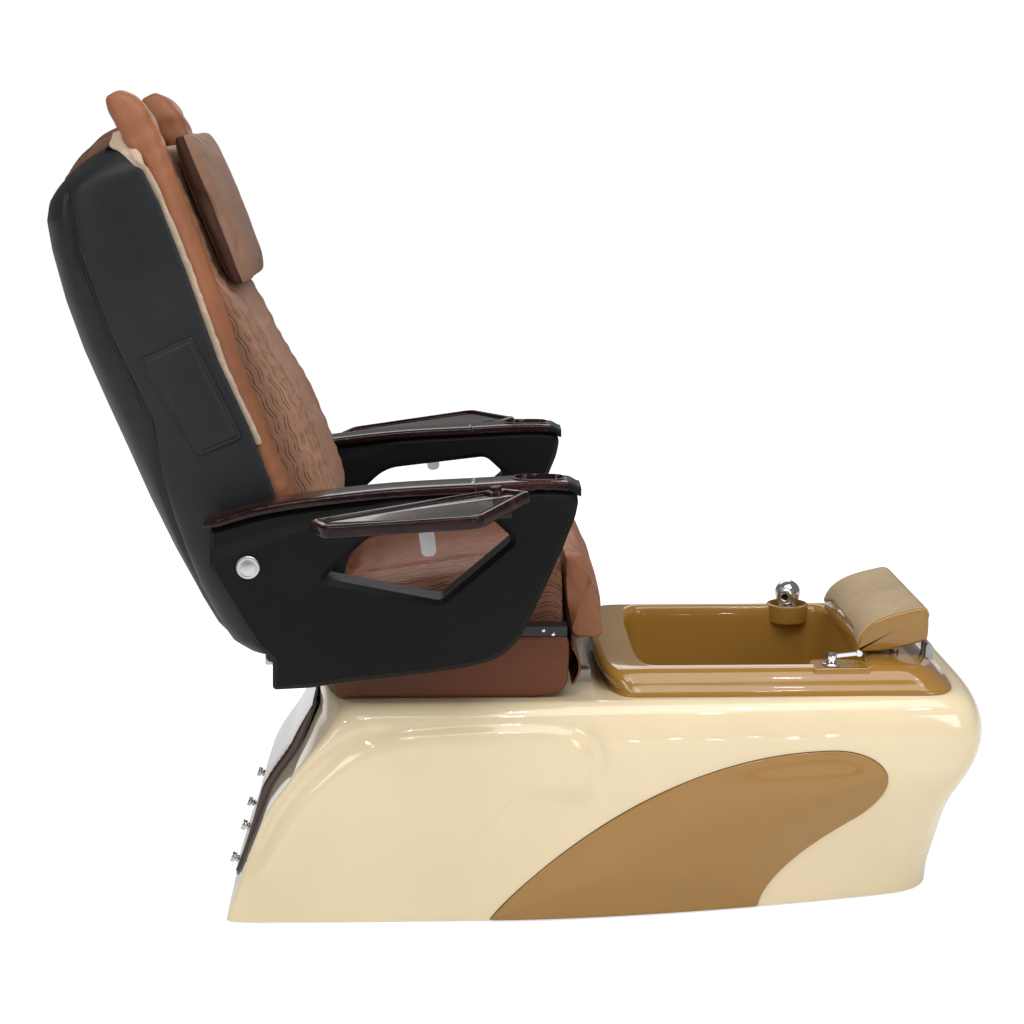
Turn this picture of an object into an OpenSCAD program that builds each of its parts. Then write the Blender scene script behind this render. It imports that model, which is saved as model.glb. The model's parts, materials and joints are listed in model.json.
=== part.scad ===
/* [Base shell] */
// Height of the deck that carries the seat rails and the tub
deck_height = 364; // [350:1:380]
// Half the width of the base shell beside the seat
base_half_width = 335; // [325:1:345]
// How far forward the foot of the base reaches
foot_front = 727; // [715:1:740]
// How far back the foot of the base reaches
foot_rear = -487; // [-500:1:-475]
// How far the front bulges out above the foot
front_bulge = 73; // [60:1:85]
// Height at which the shoulder round the deck begins
shoulder_start = 281; // [265:1:295]
// How far the shoulder draws in before it meets the deck
shoulder_inset = 45; // [35:1:50]
// How far the rear slope leans forward between floor and deck
rear_lean = 150; // [140:1:160]
// Wall of the moulded base shell
shell_wall = 5; // [3:0.5:7]
// Clearance between the shell's lower edge and the floor
floor_gap = 3; // [1:0.5:5]
// Thickness of the tan side inlays
inlay_thick = 5; // [3:0.5:8]

/* [Tub] */
// Height of the rim's top above the deck
rim_height = 41; // [36:1:46]
// Half the width of the rim where it meets the deck
rim_half_width = 273; // [266:1:278]
// Rear end of the rim
rim_rear = 149; // [145:1:155]
// Front end of the rim
rim_front = 747; // [740:1:752]
// Half the width of the basin's mouth
basin_half_width = 213; // [205:1:217]
// Rear end of the basin's mouth
basin_rear = 207; // [203:1:215]
// Front end of the basin's mouth
basin_front = 607; // [600:1:612]
// Depth of the basin below the rim
basin_depth = 292; // [270:1:300]
// Wall of the tub
tub_wall = 6; // [4:0.5:8]

/* [Chassis and rails] */
// Side of the chassis tubes
chassis_tube = 40; // [30:1:45]
// Distance of the chassis tubes' middle from the middle plane
chassis_half_span = 215; // [205:1:225]
// Height of the levelling feet under the chassis
foot_height = 14; // [12:1:20]
// Distance of each slide rail from the middle plane
rail_half_span = 150; // [140:1:160]
// Height of a slide rail
rail_height = 20; // [18:1:24]
// Travel of the seat back along its rails
seat_travel = 150; // [120:5:160]
// Radius of the seat actuator's tube
actuator_radius = 10; // [9:0.5:11]

/* [Seat] */
// Underside of the seat carriage above the deck
carriage_lift = 24; // [24:1:28]
// Height of the carriage's side tubes
carriage_tube = 30; // [26:1:34]
// Half the width of the seat cushion
seat_half_width = 232; // [226:1:236]
// Rear end of the seat cushion
seat_rear = -292; // [-296:1:-288]
// Front of the seat cushion, where the front cushion begins
seat_front = 78; // [72:1:84]
// Height of the seat cushion's front edge above the deck
seat_height = 226; // [211:1:236]
// Crown of the seat cushion
seat_crown = 14; // [8:1:20]
// Thickness of the front cushion
front_cushion_thick = 42; // [36:1:46]
// Outer face of the side skirts from the middle plane
skirt_outer = 271; // [269:0.5:272]
// Thickness of the padded side skirts
skirt_thick = 10; // [8:1:11]

/* [Arms] */
// Inner face of each arm from the middle plane
arm_inner = 275; // [273:1:278]
// Outer face of each arm from the middle plane
arm_outer = 350; // [346:1:354]
// Distance of the arm pivot behind the origin
arm_pivot_back = 429; // [425:1:433]
// Height of the arm pivot above the deck
arm_pivot_height = 241; // [236:1:246]
// Radius of the arm pivot bolt
arm_bolt_radius = 9; // [8:0.5:11]
// Thickness of the wooden arm caps
cap_thick = 14; // [10:1:16]
// Wall of the moulded arm covers
arm_wall = 4; // [3:0.5:6]

/* [Trays] */
// Thickness of a tray
tray_thick = 20; // [16:1:22]
// Slope of a tray, down towards the rear
tray_tilt = 6.15; // [5.5:0.05:6.5]
// Height of the tray's top at its pivot, above the deck
tray_height = 368; // [366:1:370]
// Distance of the tray pivot from the middle plane
tray_pivot_out = 370; // [369:0.5:373]
// Distance of the tray pivot behind the origin
tray_pivot_back = 35; // [30:1:40]
// Radius of the tray's hinge pin
tray_pin_radius = 5; // [4:0.5:6]

/* [Back] */
// Distance of the recline pivot behind the origin
back_pivot_back = 390; // [386:1:394]
// Height of the recline pivot above the deck
back_pivot_height = 116; // [112:1:120]
// Lean of the back when it is upright
back_tilt = 17.5; // [16:0.5:19]
// Half the width of the back's shell
back_half_width = 245; // [238:1:250]
// Height of the shell's top above the recline pivot
back_shell_height = 822; // [805:1:835]
// Wall of the back's shell
back_wall = 5; // [4:0.5:6]
// Radius of the recline hinge pins
back_pin_radius = 8; // [7:0.5:9]
// Length of the recline crank, pivot to pin
crank_length = 95; // [92:1:98]
// Half the width of the head pillow
pillow_half_width = 165; // [150:1:170]

/* [Massage unit] */
// Distance of each massage rail from the middle plane
massage_rail_half_span = 110; // [105:1:118]
// Radius of a kneading roller
roller_radius = 26; // [22:1:28]
// Travel of the roller carriage along the rails
massage_travel = 360; // [300:10:380]

/* [Footrest] */
// Half the width of the footrest
footrest_half_width = 165; // [155:1:172]
// Radius of the footrest's hinge pin
footrest_pin_radius = 3; // [2.5:0.5:3.5]

/* [Fittings] */
// Radius of the sprayer's ball
sprayer_radius = 24; // [20:1:26]
// Radius of the water valve's base
valve_radius = 16; // [14:1:18]
// Radius of the drain hole
drain_radius = 21; // [18:1:24]
// Radius of the jet's cover
jet_radius = 46; // [40:1:50]

/* [Hidden] */
$fn = 48;

// Clearances
seat_gap = 0.3;      // between a piece and what it rests on
pin_gap = 0.05;      // round a hinge pin or a shaft
slide_gap = 1;       // round a sliding runner
far = 2000;          // longer than anything that is cut right through
rim_top = deck_height + rim_height;

// ---- shared functions ----
function mix(a, b, t) = a + (b - a) * t;
function ease(t) = let (u = min(max(t, 0), 1)) u * u * (3 - 2 * u);
function bump(t, mid, half) = exp(-pow((t - mid) / half, 2));
function flip(points) = [for (i = [len(points) - 1:-1:0]) points[i]];
function curve(p, t) = p[0] * pow(1 - t, 3) + 3 * p[1] * t * pow(1 - t, 2)
    + 3 * p[2] * t * t * (1 - t) + p[3] * pow(t, 3);
function curve_points(p, n, first = 0) = [for (i = [first:n]) curve(p, i / n)];
// Straight-line look-up in a list of [at, value] pairs
function along(list, at, i = 0) = i >= len(list) - 2 || at < list[i + 1][0]
    ? mix(list[i][1], list[i + 1][1], min(max((at - list[i][0]) / (list[i + 1][0] - list[i][0]), 0), 1))
    : along(list, at, i + 1);
// Smooth look-up: eases from one listed value to the next
function eased(list, at, i = 0) = i >= len(list) - 2 || at < list[i + 1][0]
    ? mix(list[i][1], list[i + 1][1], ease((at - list[i][0]) / (list[i + 1][0] - list[i][0])))
    : eased(list, at, i + 1);
// Outline moved inwards by d, for an outline that runs anticlockwise
function inset(points, d) = let (n = len(points)) [for (i = [0:n - 1])
    let (a = points[i] - points[(i + n - 1) % n], b = points[(i + 1) % n] - points[i],
         na = [-a[1], a[0]] / norm(a), nb = [-b[1], b[0]] / norm(b), m = na + nb)
    points[i] + d * m / max(0.35, 1 + na * nb)];

// ---- shared modules ----
// Skin over a row of closed rings; the two ends are closed by strips, or the row closes on itself
module loft(rings, joined = false) {
    n = len(rings[0]);
    rows = len(rings);
    points = [for (r = rings) each r];
    sides = [for (i = [0:rows - (joined ? 1 : 2)], j = [0:n - 1])
        let (k = (j + 1) % n, next = (i + 1) % rows * n, a = i * n + j, b = i * n + k, c = next + k, d = next + j)
        each [[a, b, c], [a, c, d]]];
    half = floor(n / 2);
    ends = joined ? [] : [for (j = [0:half - 2])
        let (a = j, b = j + 1, c = n - 2 - j, d = n - 1 - j, e = (rows - 1) * n)
        each [[a, d, c], [a, c, b], [e + a, e + b, e + c], [e + a, e + c, e + d]]];
    polyhedron(points, concat(sides, ends), convexity = 8);
}
// Prism of an outline in the side view (x, z), between two distances y
module side_prism(points, y0, y1)
    translate([0, y1, 0]) rotate([90, 0, 0]) linear_extrude(y1 - y0) polygon(points);
// Cylinder along Y about a point of the side view
module cross_pin(x, z, r, y0, y1)
    translate([x, y1, z]) rotate([90, 0, 0]) cylinder(r = r, h = y1 - y0);
// Cylinder along X
module long_pin(x0, x1, y, z, r)
    translate([x0, y, z]) rotate([0, 90, 0]) cylinder(r = r, h = x1 - x0);
module block(x0, x1, y0, y1, z0, z1)
    translate([x0, y0, z0]) cube([x1 - x0, y1 - y0, z1 - z0]);
module both_sides() {
    children();
    mirror([0, 1, 0]) children();
}
// Side +1 is the sitter's left, side -1 the sitter's right
module on_side(side)
    mirror([0, side > 0 ? 0 : 1, 0]) children();

// ---- base shell ----
shoulder_height = deck_height - shoulder_start;
foot_taper = 117;        // how much each side draws in towards the front, at the floor
deck_taper = 25;         // the same at the deck
taper_length = 700;
function shoulder(z) = let (u = min(max((z - shoulder_start) / shoulder_height, 0), 1))
    shoulder_inset * (1 - sqrt(1 - u * u));
function front_x(z) = foot_front + front_bulge * ease(z / shoulder_start) - shoulder(z);
function rear_x(z) = foot_rear + rear_lean * min(1, 0.95 * z / deck_height + 0.15 * ease((z - 170) / 95));
function flank(x, z) = base_half_width - shoulder(z)
    - mix(foot_taper, deck_taper, ease(z / 250)) * pow(max(0, x) / taper_length, 1.6)
    + 7 * bump(x, -110, 210) * bump(z, 150, 130);
// Plan outline with rounded ends: half length, then mirrored
function plan_half(rear, front, rear_round, front_round, width, z) = concat(
    [for (k = [0:6]) let (a = 15 * k, x = front - front_round * (1 - pow(cos(a), 0.5)))
        [x, width(x, z) * pow(sin(a), 0.5), z]],
    [for (k = [1:9]) let (x = mix(front - front_round, rear + rear_round, k / 10)) [x, width(x, z), z]],
    [for (k = [0:5]) let (a = 18 * k, x = rear + rear_round * (1 - pow(sin(a), 0.55)))
        [x, width(x, z) * pow(cos(a), 0.55), z]]);
function mirrored(half) = concat(half, [for (i = [len(half) - 2:-1:1]) [half[i][0], -half[i][1], half[i][2]]]);
function base_ring(z, d = 0) = mirrored(plan_half(rear_x(z) + d, front_x(z) - d, 80,
    mix(180, 95, ease(z / shoulder_start)), function (x, zz) flank(x, zz) - d, z));
// Plan outline of the tub at a height, from its rear, front and half width
function tub_ring(rear, front, half, z, round = 62) = mirrored(plan_half(rear, front, round * 0.8, round,
    function (x, zz) half, z));

opening_clear = 8;       // round the basin where it passes through the deck
module base_shell() color("wheat") {
    levels = [floor_gap, 40, 80, 120, 160, 200, 240, shoulder_start,
        for (u = [0.35, 0.6, 0.8, 0.93]) shoulder_start + u * shoulder_height];
    hole = tub_ring(basin_rear - tub_wall - opening_clear, basin_front + tub_wall + opening_clear,
        basin_half_width + tub_wall + opening_clear, deck_height);
    under = deck_height - shell_wall;
    rings = concat(
        [for (z = levels) base_ring(z)], [base_ring(deck_height), hole],
        [[for (p = hole) [p[0], p[1], under]]],
        [[for (p = base_ring(deck_height, shell_wall)) [p[0], p[1], under]]],
        [for (z = flip(levels)) base_ring(z, shell_wall)]);
    difference() {
        loft(flip(rings), joined = true);
        block(-far, -250, -hatch_half_width, hatch_half_width, hatch_bottom, hatch_top);
    }
}
hatch_half_width = 140;
hatch_bottom = 75;
hatch_top = 300;

// ---- tan inlays on the flanks ----
inlay_rear = -48;
inlay_front = 614;
inlay_peak = 520;
inlay_crown = 284;
inlay_corner = 405;      // where the lower edge leaves the floor
inlay_gap = 1.1;         // clears the shell's flat facets
function inlay_top(x) = x < inlay_peak
    ? inlay_crown * sin(90 * pow((x - inlay_rear) / (inlay_peak - inlay_rear), 0.85))
    : mix(230, inlay_crown, sqrt(max(0, 1 - pow((x - inlay_peak) / (inlay_front - inlay_peak), 2))));
function inlay_bottom(x) = x < inlay_corner ? 0
    : let (u = (x - inlay_corner) / (inlay_front - inlay_corner), v = max(0, (x - 560) / (inlay_front - 560)))
      190 * pow(u, 0.62) + 38 * (1 - sqrt(max(0, 1 - v * v)));
module inlay() {
    stops = [0.03, 0.07, 0.12, 0.19, 0.27, 0.36, 0.45, 0.54, 0.62, 0.684, 0.72, 0.78, 0.85, 0.91, 0.95,
        0.98, 0.995];
    rings = [for (s = stops) let (
            x = mix(inlay_rear, inlay_front, s),
            low = max(floor_gap, inlay_bottom(x)), high = inlay_top(x),
            heights = [for (j = [0:5]) mix(low, high, j / 5)])
        concat([for (z = heights) [x, flank(x, z) + inlay_gap, z]],
            [for (z = flip(heights)) [x, flank(x, z) + inlay_thick, z]])];
    loft(rings);
}
module side_inlays() color("peru") both_sides() inlay();

// ---- tub ----
basin_floor = rim_top - basin_depth;
sprayer_x = basin_front - 80;
sprayer_y = basin_half_width + 23;
valve_x = basin_front - 77;
valve_y = -basin_half_width - 15;
drain_x = (basin_rear + basin_front) / 2;
floor_bend = basin_floor + 60;       // where the basin's walls leave the rounded floor
jet_z = floor_bend + jet_radius + 2;
jet_bore = 30;
function basin(step, d) = tub_ring(basin_rear + step[0] - d, basin_front - step[1] + d,
    basin_half_width - step[2] + d, step[3] - d, 62 + d);
module tub() color("peru") {
    // Inside of the basin from its floor to the lip, then over the rim and back down outside
    steps = [[120, 120, 110, basin_floor], [62, 62, 70, basin_floor + 5], [22, 34, 40, basin_floor + 24],
        [6, 24, 28, floor_bend], [6, 16, 16, rim_top - 175], [6, 8, 6, rim_top - 65],
        [2, 2, 1, rim_top - 8]];
    lift = rim_top - deck_height;
    rim_steps = [[-7, 7, -7, 0], [-45, 70, -13, -0.5], [-68, 96, -25, -5], [-73, 116, -38, -14],
        [-66, 130, -50, -26]];
    rings = concat(
        [for (s = steps) basin(s, 0)],
        [for (s = rim_steps) tub_ring(basin_rear + s[0], basin_front + s[1], basin_half_width - s[2],
            rim_top + s[3], s[0] < -10 ? 75 : 64)],
        [tub_ring(rim_rear, rim_front, rim_half_width, deck_height + seat_gap, 80)],
        [tub_ring(basin_rear - tub_wall, basin_front + tub_wall, basin_half_width + tub_wall,
            deck_height + seat_gap)],
        [for (s = flip([for (i = [0:5]) steps[i]])) basin(s, tub_wall)]);
    difference() {
        union() {
            loft(rings);
            // Pad under the water valve, which reaches in over the basin
            translate([valve_x - 33, valve_y - 14, rim_top - 30]) cube([90, 52, 30.6]);
            // Pad under the sprayer's collar
            translate([sprayer_x, sprayer_y, deck_height + 10]) cylinder(r = sprayer_radius + 9, h = lift - 9);
        }
        translate([drain_x, 0, basin_floor - 30]) cylinder(r = drain_radius, h = 60);
        long_pin(basin_rear - 40, basin_rear + 40, 0, jet_z, jet_bore);
        translate([sprayer_x, sprayer_y, deck_height]) cylinder(r = 11, h = far);
    }
}

// ---- chassis, feet and rails ----
chassis_top = foot_height + chassis_tube;
chassis_rear = -420;
chassis_front = 600;
post_front = 150;
module chassis() color("dimgray") {
    for (side = [-1, 1]) {
        y = side * chassis_half_span;
        block(chassis_rear, chassis_front, y - chassis_tube / 2, y + chassis_tube / 2, foot_height, chassis_top);
        for (x = [-300, post_front - chassis_tube])
            block(x, x + chassis_tube, y - chassis_tube / 2, y + chassis_tube / 2, chassis_top - 1,
                deck_height - shell_wall - seat_gap);
    }
    for (x = [chassis_rear, -40, chassis_front - chassis_tube])
        block(x, x + chassis_tube, -chassis_half_span, chassis_half_span, foot_height, chassis_top);
}
module levelling_feet() color("black")
    for (x = [chassis_rear + 30, -20, chassis_front - 30], side = [-1, 1])
        translate([x, side * chassis_half_span, 0]) {
            cylinder(r = 24, h = foot_height * 0.6);
            cylinder(r = 8, h = foot_height);
        }
runner_rear = -180;
runner_front = 60;
rail_rear = runner_rear - seat_travel - 2;
rail_front = runner_front + 70;
rail_wall = 3;
rail_inner = 16;         // half the room inside a rail
neck = 6;                // half the width of a runner's neck
rail_top = deck_height + rail_height;
module slide_rails() color("silver") both_sides() translate([0, rail_half_span, 0]) {
    half = rail_inner + rail_wall;
    difference() {
        block(rail_rear, rail_front, -half, half, deck_height, rail_top);
        block(-far, far, -rail_inner, rail_inner, deck_height + rail_wall, rail_top - rail_wall);
        block(-far, far, -neck - 2, neck + 2, deck_height + rail_wall, far);
    }
}
actuator_z = deck_height + actuator_radius + 1;
actuator_y = 60;
rod_radius = 6;
seat_tube_rear = -180;
seat_tube_front = 60;
module seat_actuator() color("dimgray") {
    difference() {
        long_pin(seat_tube_rear, seat_tube_front, actuator_y, actuator_z, actuator_radius);
        long_pin(seat_tube_rear - 1, seat_tube_front - 15, actuator_y, actuator_z, rod_radius + pin_gap);
    }
    // Feet that hold the tube down on the deck
    for (x = [seat_tube_rear + 20, seat_tube_front - 40])
        difference() {
            block(x, x + 16, actuator_y - actuator_radius - 10, actuator_y + actuator_radius + 10,
                deck_height, deck_height + 7);
            long_pin(x - 1, x + 17, actuator_y, actuator_z, actuator_radius - 0.5);
        }
}

// ---- rear door ----
door_bottom = 26;
door_top = 334;
door_half_width = 168;
door_edge = 6;
door_crown = 25;
seal_thick = 3;
function door_bulge(z) = let (t = (z - door_bottom) / (door_top - door_bottom))
    door_edge + door_crown * pow(max(0, sin(180 * pow(t, 1.7))), 1.2);
door_rows = 12;
door_levels = [for (i = [0:door_rows]) mix(door_bottom, door_top, i / door_rows)];
module rear_sheet(levels, half, near, bulge) {
    rings = [for (z = levels) let (x = rear_x(z) - near)
        concat([for (j = [0:6]) [x, mix(-half, half, j / 6), z]],
            [for (j = [6:-1:0]) let (v = 2 * j / 6 - 1)
                [x - bulge(z) * (1 - 0.35 * pow(abs(v), 6)), v * half, z]])];
    loft(flip(rings));
}
module rear_door() color("maroon")
    rear_sheet(door_levels, door_half_width, 2 * seat_gap + seal_thick, function (z) door_bulge(z) - seal_thick);
module door_seal() color("black")
    rear_sheet(concat([door_bottom - 4], door_levels, [door_top + 4]), door_half_width + 5, seat_gap,
        function (z) seal_thick);
knob_y = 150;
knob_heights = [46, 104];
// Outer face of the door under a knob, on the flat facets that the sheet is made of
function door_face(z) = let (
    step = (door_top - door_bottom) / door_rows, low = door_bottom + step * floor((z - door_bottom) / step),
    edge = mix(1 - 0.35 * pow(2 / 3, 6), 0.65, 3 * knob_y / door_half_width - 2),
    faces = [for (h = [low, low + step])
        rear_x(h) - 2 * seat_gap - seal_thick - (door_bulge(h) - seal_thick) * edge])
    mix(faces[0], faces[1], (z - low) / step);
function door_lean(z) = atan((door_face(z + 1) - door_face(z - 1)) / 2);
module door_knobs() color("gainsboro") for (z = knob_heights, side = [-1, 1])
    translate([door_face(z), side * knob_y, z]) rotate([0, door_lean(z) - 90, 0])
        translate([0, 0, 0.75]) {
            cylinder(r = 3, h = 12);
            translate([0, 0, 6]) cylinder(r = 9, h = 8);
        }

// ---- drain ----
flange_height = 3;
nut_low = basin_floor - 30;
drain_low = basin_floor - 53;
drain_outer = drain_radius - 0.3;
drain_bore = drain_radius - 6;
module drain_fitting() color("silver") translate([drain_x, 0, 0]) rotate_extrude()
    polygon([[drain_bore, basin_floor + flange_height], [drain_bore, drain_low], [drain_outer, drain_low],
        [drain_outer, nut_low], [drain_radius + 12, nut_low],
        [drain_radius + 12, basin_floor - tub_wall - seat_gap], [drain_outer, basin_floor - tub_wall - seat_gap],
        [drain_outer, basin_floor + seat_gap], [drain_radius + 16, basin_floor + seat_gap],
        [drain_radius + 12, basin_floor + flange_height]]);
module drain_stopper() color("gainsboro") translate([drain_x, 0, basin_floor + flange_height + seat_gap]) {
    cylinder(r = 22, h = 4);
    translate([0, 0, -30]) cylinder(r = 4, h = 31);
}

// ---- jet ----
jet_face = basin_rear + 6;           // inner face of the basin's rear wall
spindle = 3;
module jet_motor() color("dimgray") difference() {
    union() {
        long_pin(jet_face - tub_wall - 70, jet_face - tub_wall - 0.6, 0, jet_z, 40);
        long_pin(jet_face - tub_wall - 1, jet_face, 0, jet_z, jet_bore - 0.3);
        long_pin(jet_face - 1, jet_face + 12, 0, jet_z, spindle);
    }
}
module jet_cover() color("tan") difference() {
    long_pin(jet_face + 0.8, jet_face + 17, 0, jet_z, jet_radius);
    long_pin(jet_face - 1, jet_face + 14, 0, jet_z, jet_radius - 4);
    for (a = [0:45:315]) translate([0, 0, jet_z]) rotate([a, 0, 0])
        long_pin(jet_face, far, 0, jet_radius - 16, 6);
    for (a = [22.5:90:292.5]) translate([0, 0, jet_z]) rotate([a, 0, 0])
        long_pin(jet_face, far, 0, 14, 4);
}
module jet_impeller() color("white") difference() {
    union() {
        long_pin(jet_face + 2, jet_face + 10, 0, jet_z, 9);
        for (a = [0:60:300]) translate([jet_face + 2, 0, jet_z]) rotate([a, 0, 0])
            translate([0, -1.5, 0]) cube([8, 3, jet_radius - 9]);
    }
    long_pin(jet_face, jet_face + 20, 0, jet_z, spindle + pin_gap);
}

// ---- sprayer ----
collar_base = rim_top + 1;
module sprayer_collar() color("gainsboro") translate([sprayer_x, sprayer_y, collar_base + seat_gap])
    difference() {
        union() {
            cylinder(r = sprayer_radius + 6, h = 4);
            cylinder(r = 17, h = 7.5);
            translate([0, 0, -18]) cylinder(r = 10.6, h = 19);
        }
        translate([0, 0, -30]) cylinder(r = 8, h = 60);
    }
module sprayer_head() color("gainsboro") translate([sprayer_x, sprayer_y, collar_base]) {
    translate([0, 0, sprayer_radius + 7]) {
        sphere(r = sprayer_radius);
        rotate([65, 0, -35]) cylinder(r = 13, h = sprayer_radius + 3);
    }
    translate([0, 0, -20]) cylinder(r = 7.6, h = 34);
}

// ---- water valve ----
valve_deck = rim_top + 0.6;
turret_height = 15;
valve_lever_length = 46;
module valve_base() color("gainsboro") translate([valve_x, valve_y, valve_deck + seat_gap]) {
    cylinder(r = valve_radius, h = 4);
    cylinder(r = 4, h = 9);
}
module valve_turret() color("gainsboro") translate([valve_x, valve_y, valve_deck + 5]) {
    difference() {
        cylinder(r = 9.5, h = turret_height);
        translate([0, 0, -1]) cylinder(r = 4 + pin_gap, h = 5.5);
        translate([-20, -3.5, 6]) cube([40, 7, 20]);
    }
    cross_pin(0, 10.5, 1.5, -5, 5);
}
module valve_lever() color("gainsboro") translate([valve_x, valve_y, valve_deck + 5]) difference() {
    union() {
        cross_pin(0, 10.5, 4, -3, 3);
        hull() {
            cross_pin(2, 10.5, 3, -3, 3);
            cross_pin(valve_lever_length, 15, 3, -3, 3);
        }
        cross_pin(valve_lever_length, 15, 5, -5, 5);
    }
    cross_pin(0, 10.5, 1.5 + pin_gap, -far, far);
}

// ---- footrest, drawn from the front edge of the basin's mouth at the rim's top ----
module on_rim() translate([basin_front, 0, rim_top]) children();
footrest_pivot = [105, 11];
footrest_top = [[-23, 7], [-23, 65], [43, 73], [79, 82]];
footrest_inside = [[-23, 7], [-16, 61], [45, 65], [81, 75]];
footrest_under = [[-23, 7], [-15, 5], [28, 6], [99, 25]];
footrest_wall = 5;
bumper_x = footrest_pivot[0] - 57;
hinge_y = footrest_half_width - 30;  // middle of each hinge
knuckle_radius = footrest_pin_radius + 3;
knuckle_half = 7;        // half the length of a hinge's middle knuckle
module footrest_shell() color("peru") on_rim() {
    difference() {
        side_prism(concat(footrest_under, [[99, 61], [93, 71]], flip(curve_points(footrest_inside, 12, 1))),
            -footrest_half_width, footrest_half_width);
        side_prism(inset(concat(footrest_under, [[93, 61]], flip(curve_points(footrest_inside, 8, 1))),
            footrest_wall), -footrest_half_width + footrest_wall, footrest_half_width - footrest_wall);
    }
    // Middle knuckle of each hinge, with the web that joins it to the shell
    both_sides() difference() {
        union() {
            cross_pin(footrest_pivot[0], footrest_pivot[1], knuckle_radius, hinge_y - knuckle_half,
                hinge_y + knuckle_half);
            side_prism([for (p = [[-10, 8], [-4, -3], [2, 4], [-6.1, 16]]) footrest_pivot + p],
                hinge_y - knuckle_half, hinge_y + knuckle_half);
        }
        cross_pin(footrest_pivot[0], footrest_pivot[1], footrest_pin_radius + pin_gap, 0, far);
    }
}
module footrest_cover() color("tan") on_rim() {
    outer = concat(curve_points(footrest_top, 12, 1), [[90, 82], [98, 76], [101, 65]]);
    band = concat(outer, [[99.5, 61.5], [93.5, 71.5]], flip(curve_points(footrest_inside, 12, 1)));
    translate([0, 0, seat_gap]) side_prism(flip(band), -footrest_half_width, footrest_half_width);
}
module footrest_hinge() color("dimgray") on_rim() both_sides() {
    x = footrest_pivot[0];
    z = footrest_pivot[1];
    for (y = [hinge_y - knuckle_half - 12, hinge_y + knuckle_half + 0.5]) {
        cross_pin(x, z, knuckle_radius, y, y + 11.5);
        side_prism([[x - 7, -6.4], [x + 7, -12.6], [x + 6, z], [x - 6, z]], y, y + 11.5);
    }
    cross_pin(x, z, footrest_pin_radius, hinge_y - 20, hinge_y + 20);
    // Rubber bumper under the pad
    translate([bumper_x, hinge_y, 0]) cylinder(r = 8, h = along(footrest_under, bumper_x - 8) - seat_gap);
}

// ---- seat carriage ----
carriage_z = deck_height + carriage_lift;
carriage_top = carriage_z + carriage_tube;
cross_z = carriage_top - 20;         // underside of the cross tubes
carriage_rear = -back_pivot_back + 70;
carriage_front = seat_front + 2;
side_tube_y = 220;
side_tube_half = 12;
lug_y = 222;             // inner face of the recline lugs
lug_thick = 10;
bracket_y = 250.5;       // inner face of the arm brackets, outside the back's shell
bracket_thick = 7;
pivot = [-back_pivot_back, deck_height + back_pivot_height];
arm_pivot = [-arm_pivot_back, deck_height + arm_pivot_height];
skirt_top = deck_height + 105;
apron_thick = 4;
apron_low = actuator_z + actuator_radius + 2;
apron_high = skirt_top - 21;
function apron_x(z) = seat_front + 12 + 17 * sin(mix(20, 160, (z - apron_low) / (apron_high - apron_low)));
module runners() color("silver") both_sides() translate([0, rail_half_span, 0]) {
    low = deck_height + rail_wall + slide_gap;
    high = rail_top - rail_wall - slide_gap;
    block(runner_rear, runner_front, -rail_inner + slide_gap, rail_inner - slide_gap, low, high);
    block(runner_rear, runner_front, -neck, neck, high, cross_z);
}
module carriage_frame() color("dimgray") {
    both_sides() {
        block(carriage_rear, carriage_front, side_tube_y - side_tube_half, side_tube_y + side_tube_half,
            carriage_z, carriage_top);
        // Lug that carries the recline pin
        difference() {
            union() {
                side_prism([[carriage_rear + 60, carriage_z], [carriage_rear + 60, carriage_top],
                    pivot + [18, 12], pivot + [-12, -18], [carriage_rear, carriage_z]], lug_y, lug_y + lug_thick);
                cross_pin(pivot[0], pivot[1], back_pin_radius + 13, lug_y, lug_y + lug_thick);
            }
            cross_pin(pivot[0], pivot[1], back_pin_radius + pin_gap, 0, far);
        }
        // Bracket that carries the arm
        difference() {
            union() {
                side_prism([[-290, carriage_z], [-190, carriage_z], [-190, carriage_top], arm_pivot + [22, 16],
                    arm_pivot + [-16, -22]], bracket_y, bracket_y + bracket_thick);
                cross_pin(arm_pivot[0], arm_pivot[1], arm_bolt_radius + 16,
                    bracket_y, bracket_y + bracket_thick);
            }
            cross_pin(arm_pivot[0], arm_pivot[1], arm_bolt_radius + pin_gap, 0, far);
        }
        block(-290, -190, side_tube_y, bracket_y + 1, carriage_z, carriage_top);
        // Rail that shows between the skirt and the cushion
        block(40, carriage_front, side_tube_y, skirt_outer - skirt_thick - seat_gap, carriage_z, carriage_top);
        block(40, carriage_front, skirt_outer - skirt_thick - 12, skirt_outer - skirt_thick - seat_gap,
            carriage_top - 1, skirt_top + 2);
        block(seat_front - 118, seat_front + 6, seat_half_width + 3, skirt_outer - 1, skirt_top, skirt_top + 16);
    }
    for (x = [carriage_rear, -112, carriage_front - 30])
        block(x, x + 26, -side_tube_y, side_tube_y, cross_z, carriage_top);
    // Tabs that the front apron is fixed to
    for (y = [-170, 140])
        block(carriage_front - 5, apron_x(cross_z) - apron_thick - 0.5, y, y + 30, cross_z, carriage_top);
}
module seat_actuator_rod() color("silver") {
    long_pin(carriage_rear + 10, seat_tube_front - 20, actuator_y, actuator_z, rod_radius);
    block(carriage_rear + 4, carriage_rear + 20, actuator_y - 9, actuator_y + 9, actuator_z - 9, cross_z);
}

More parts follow.
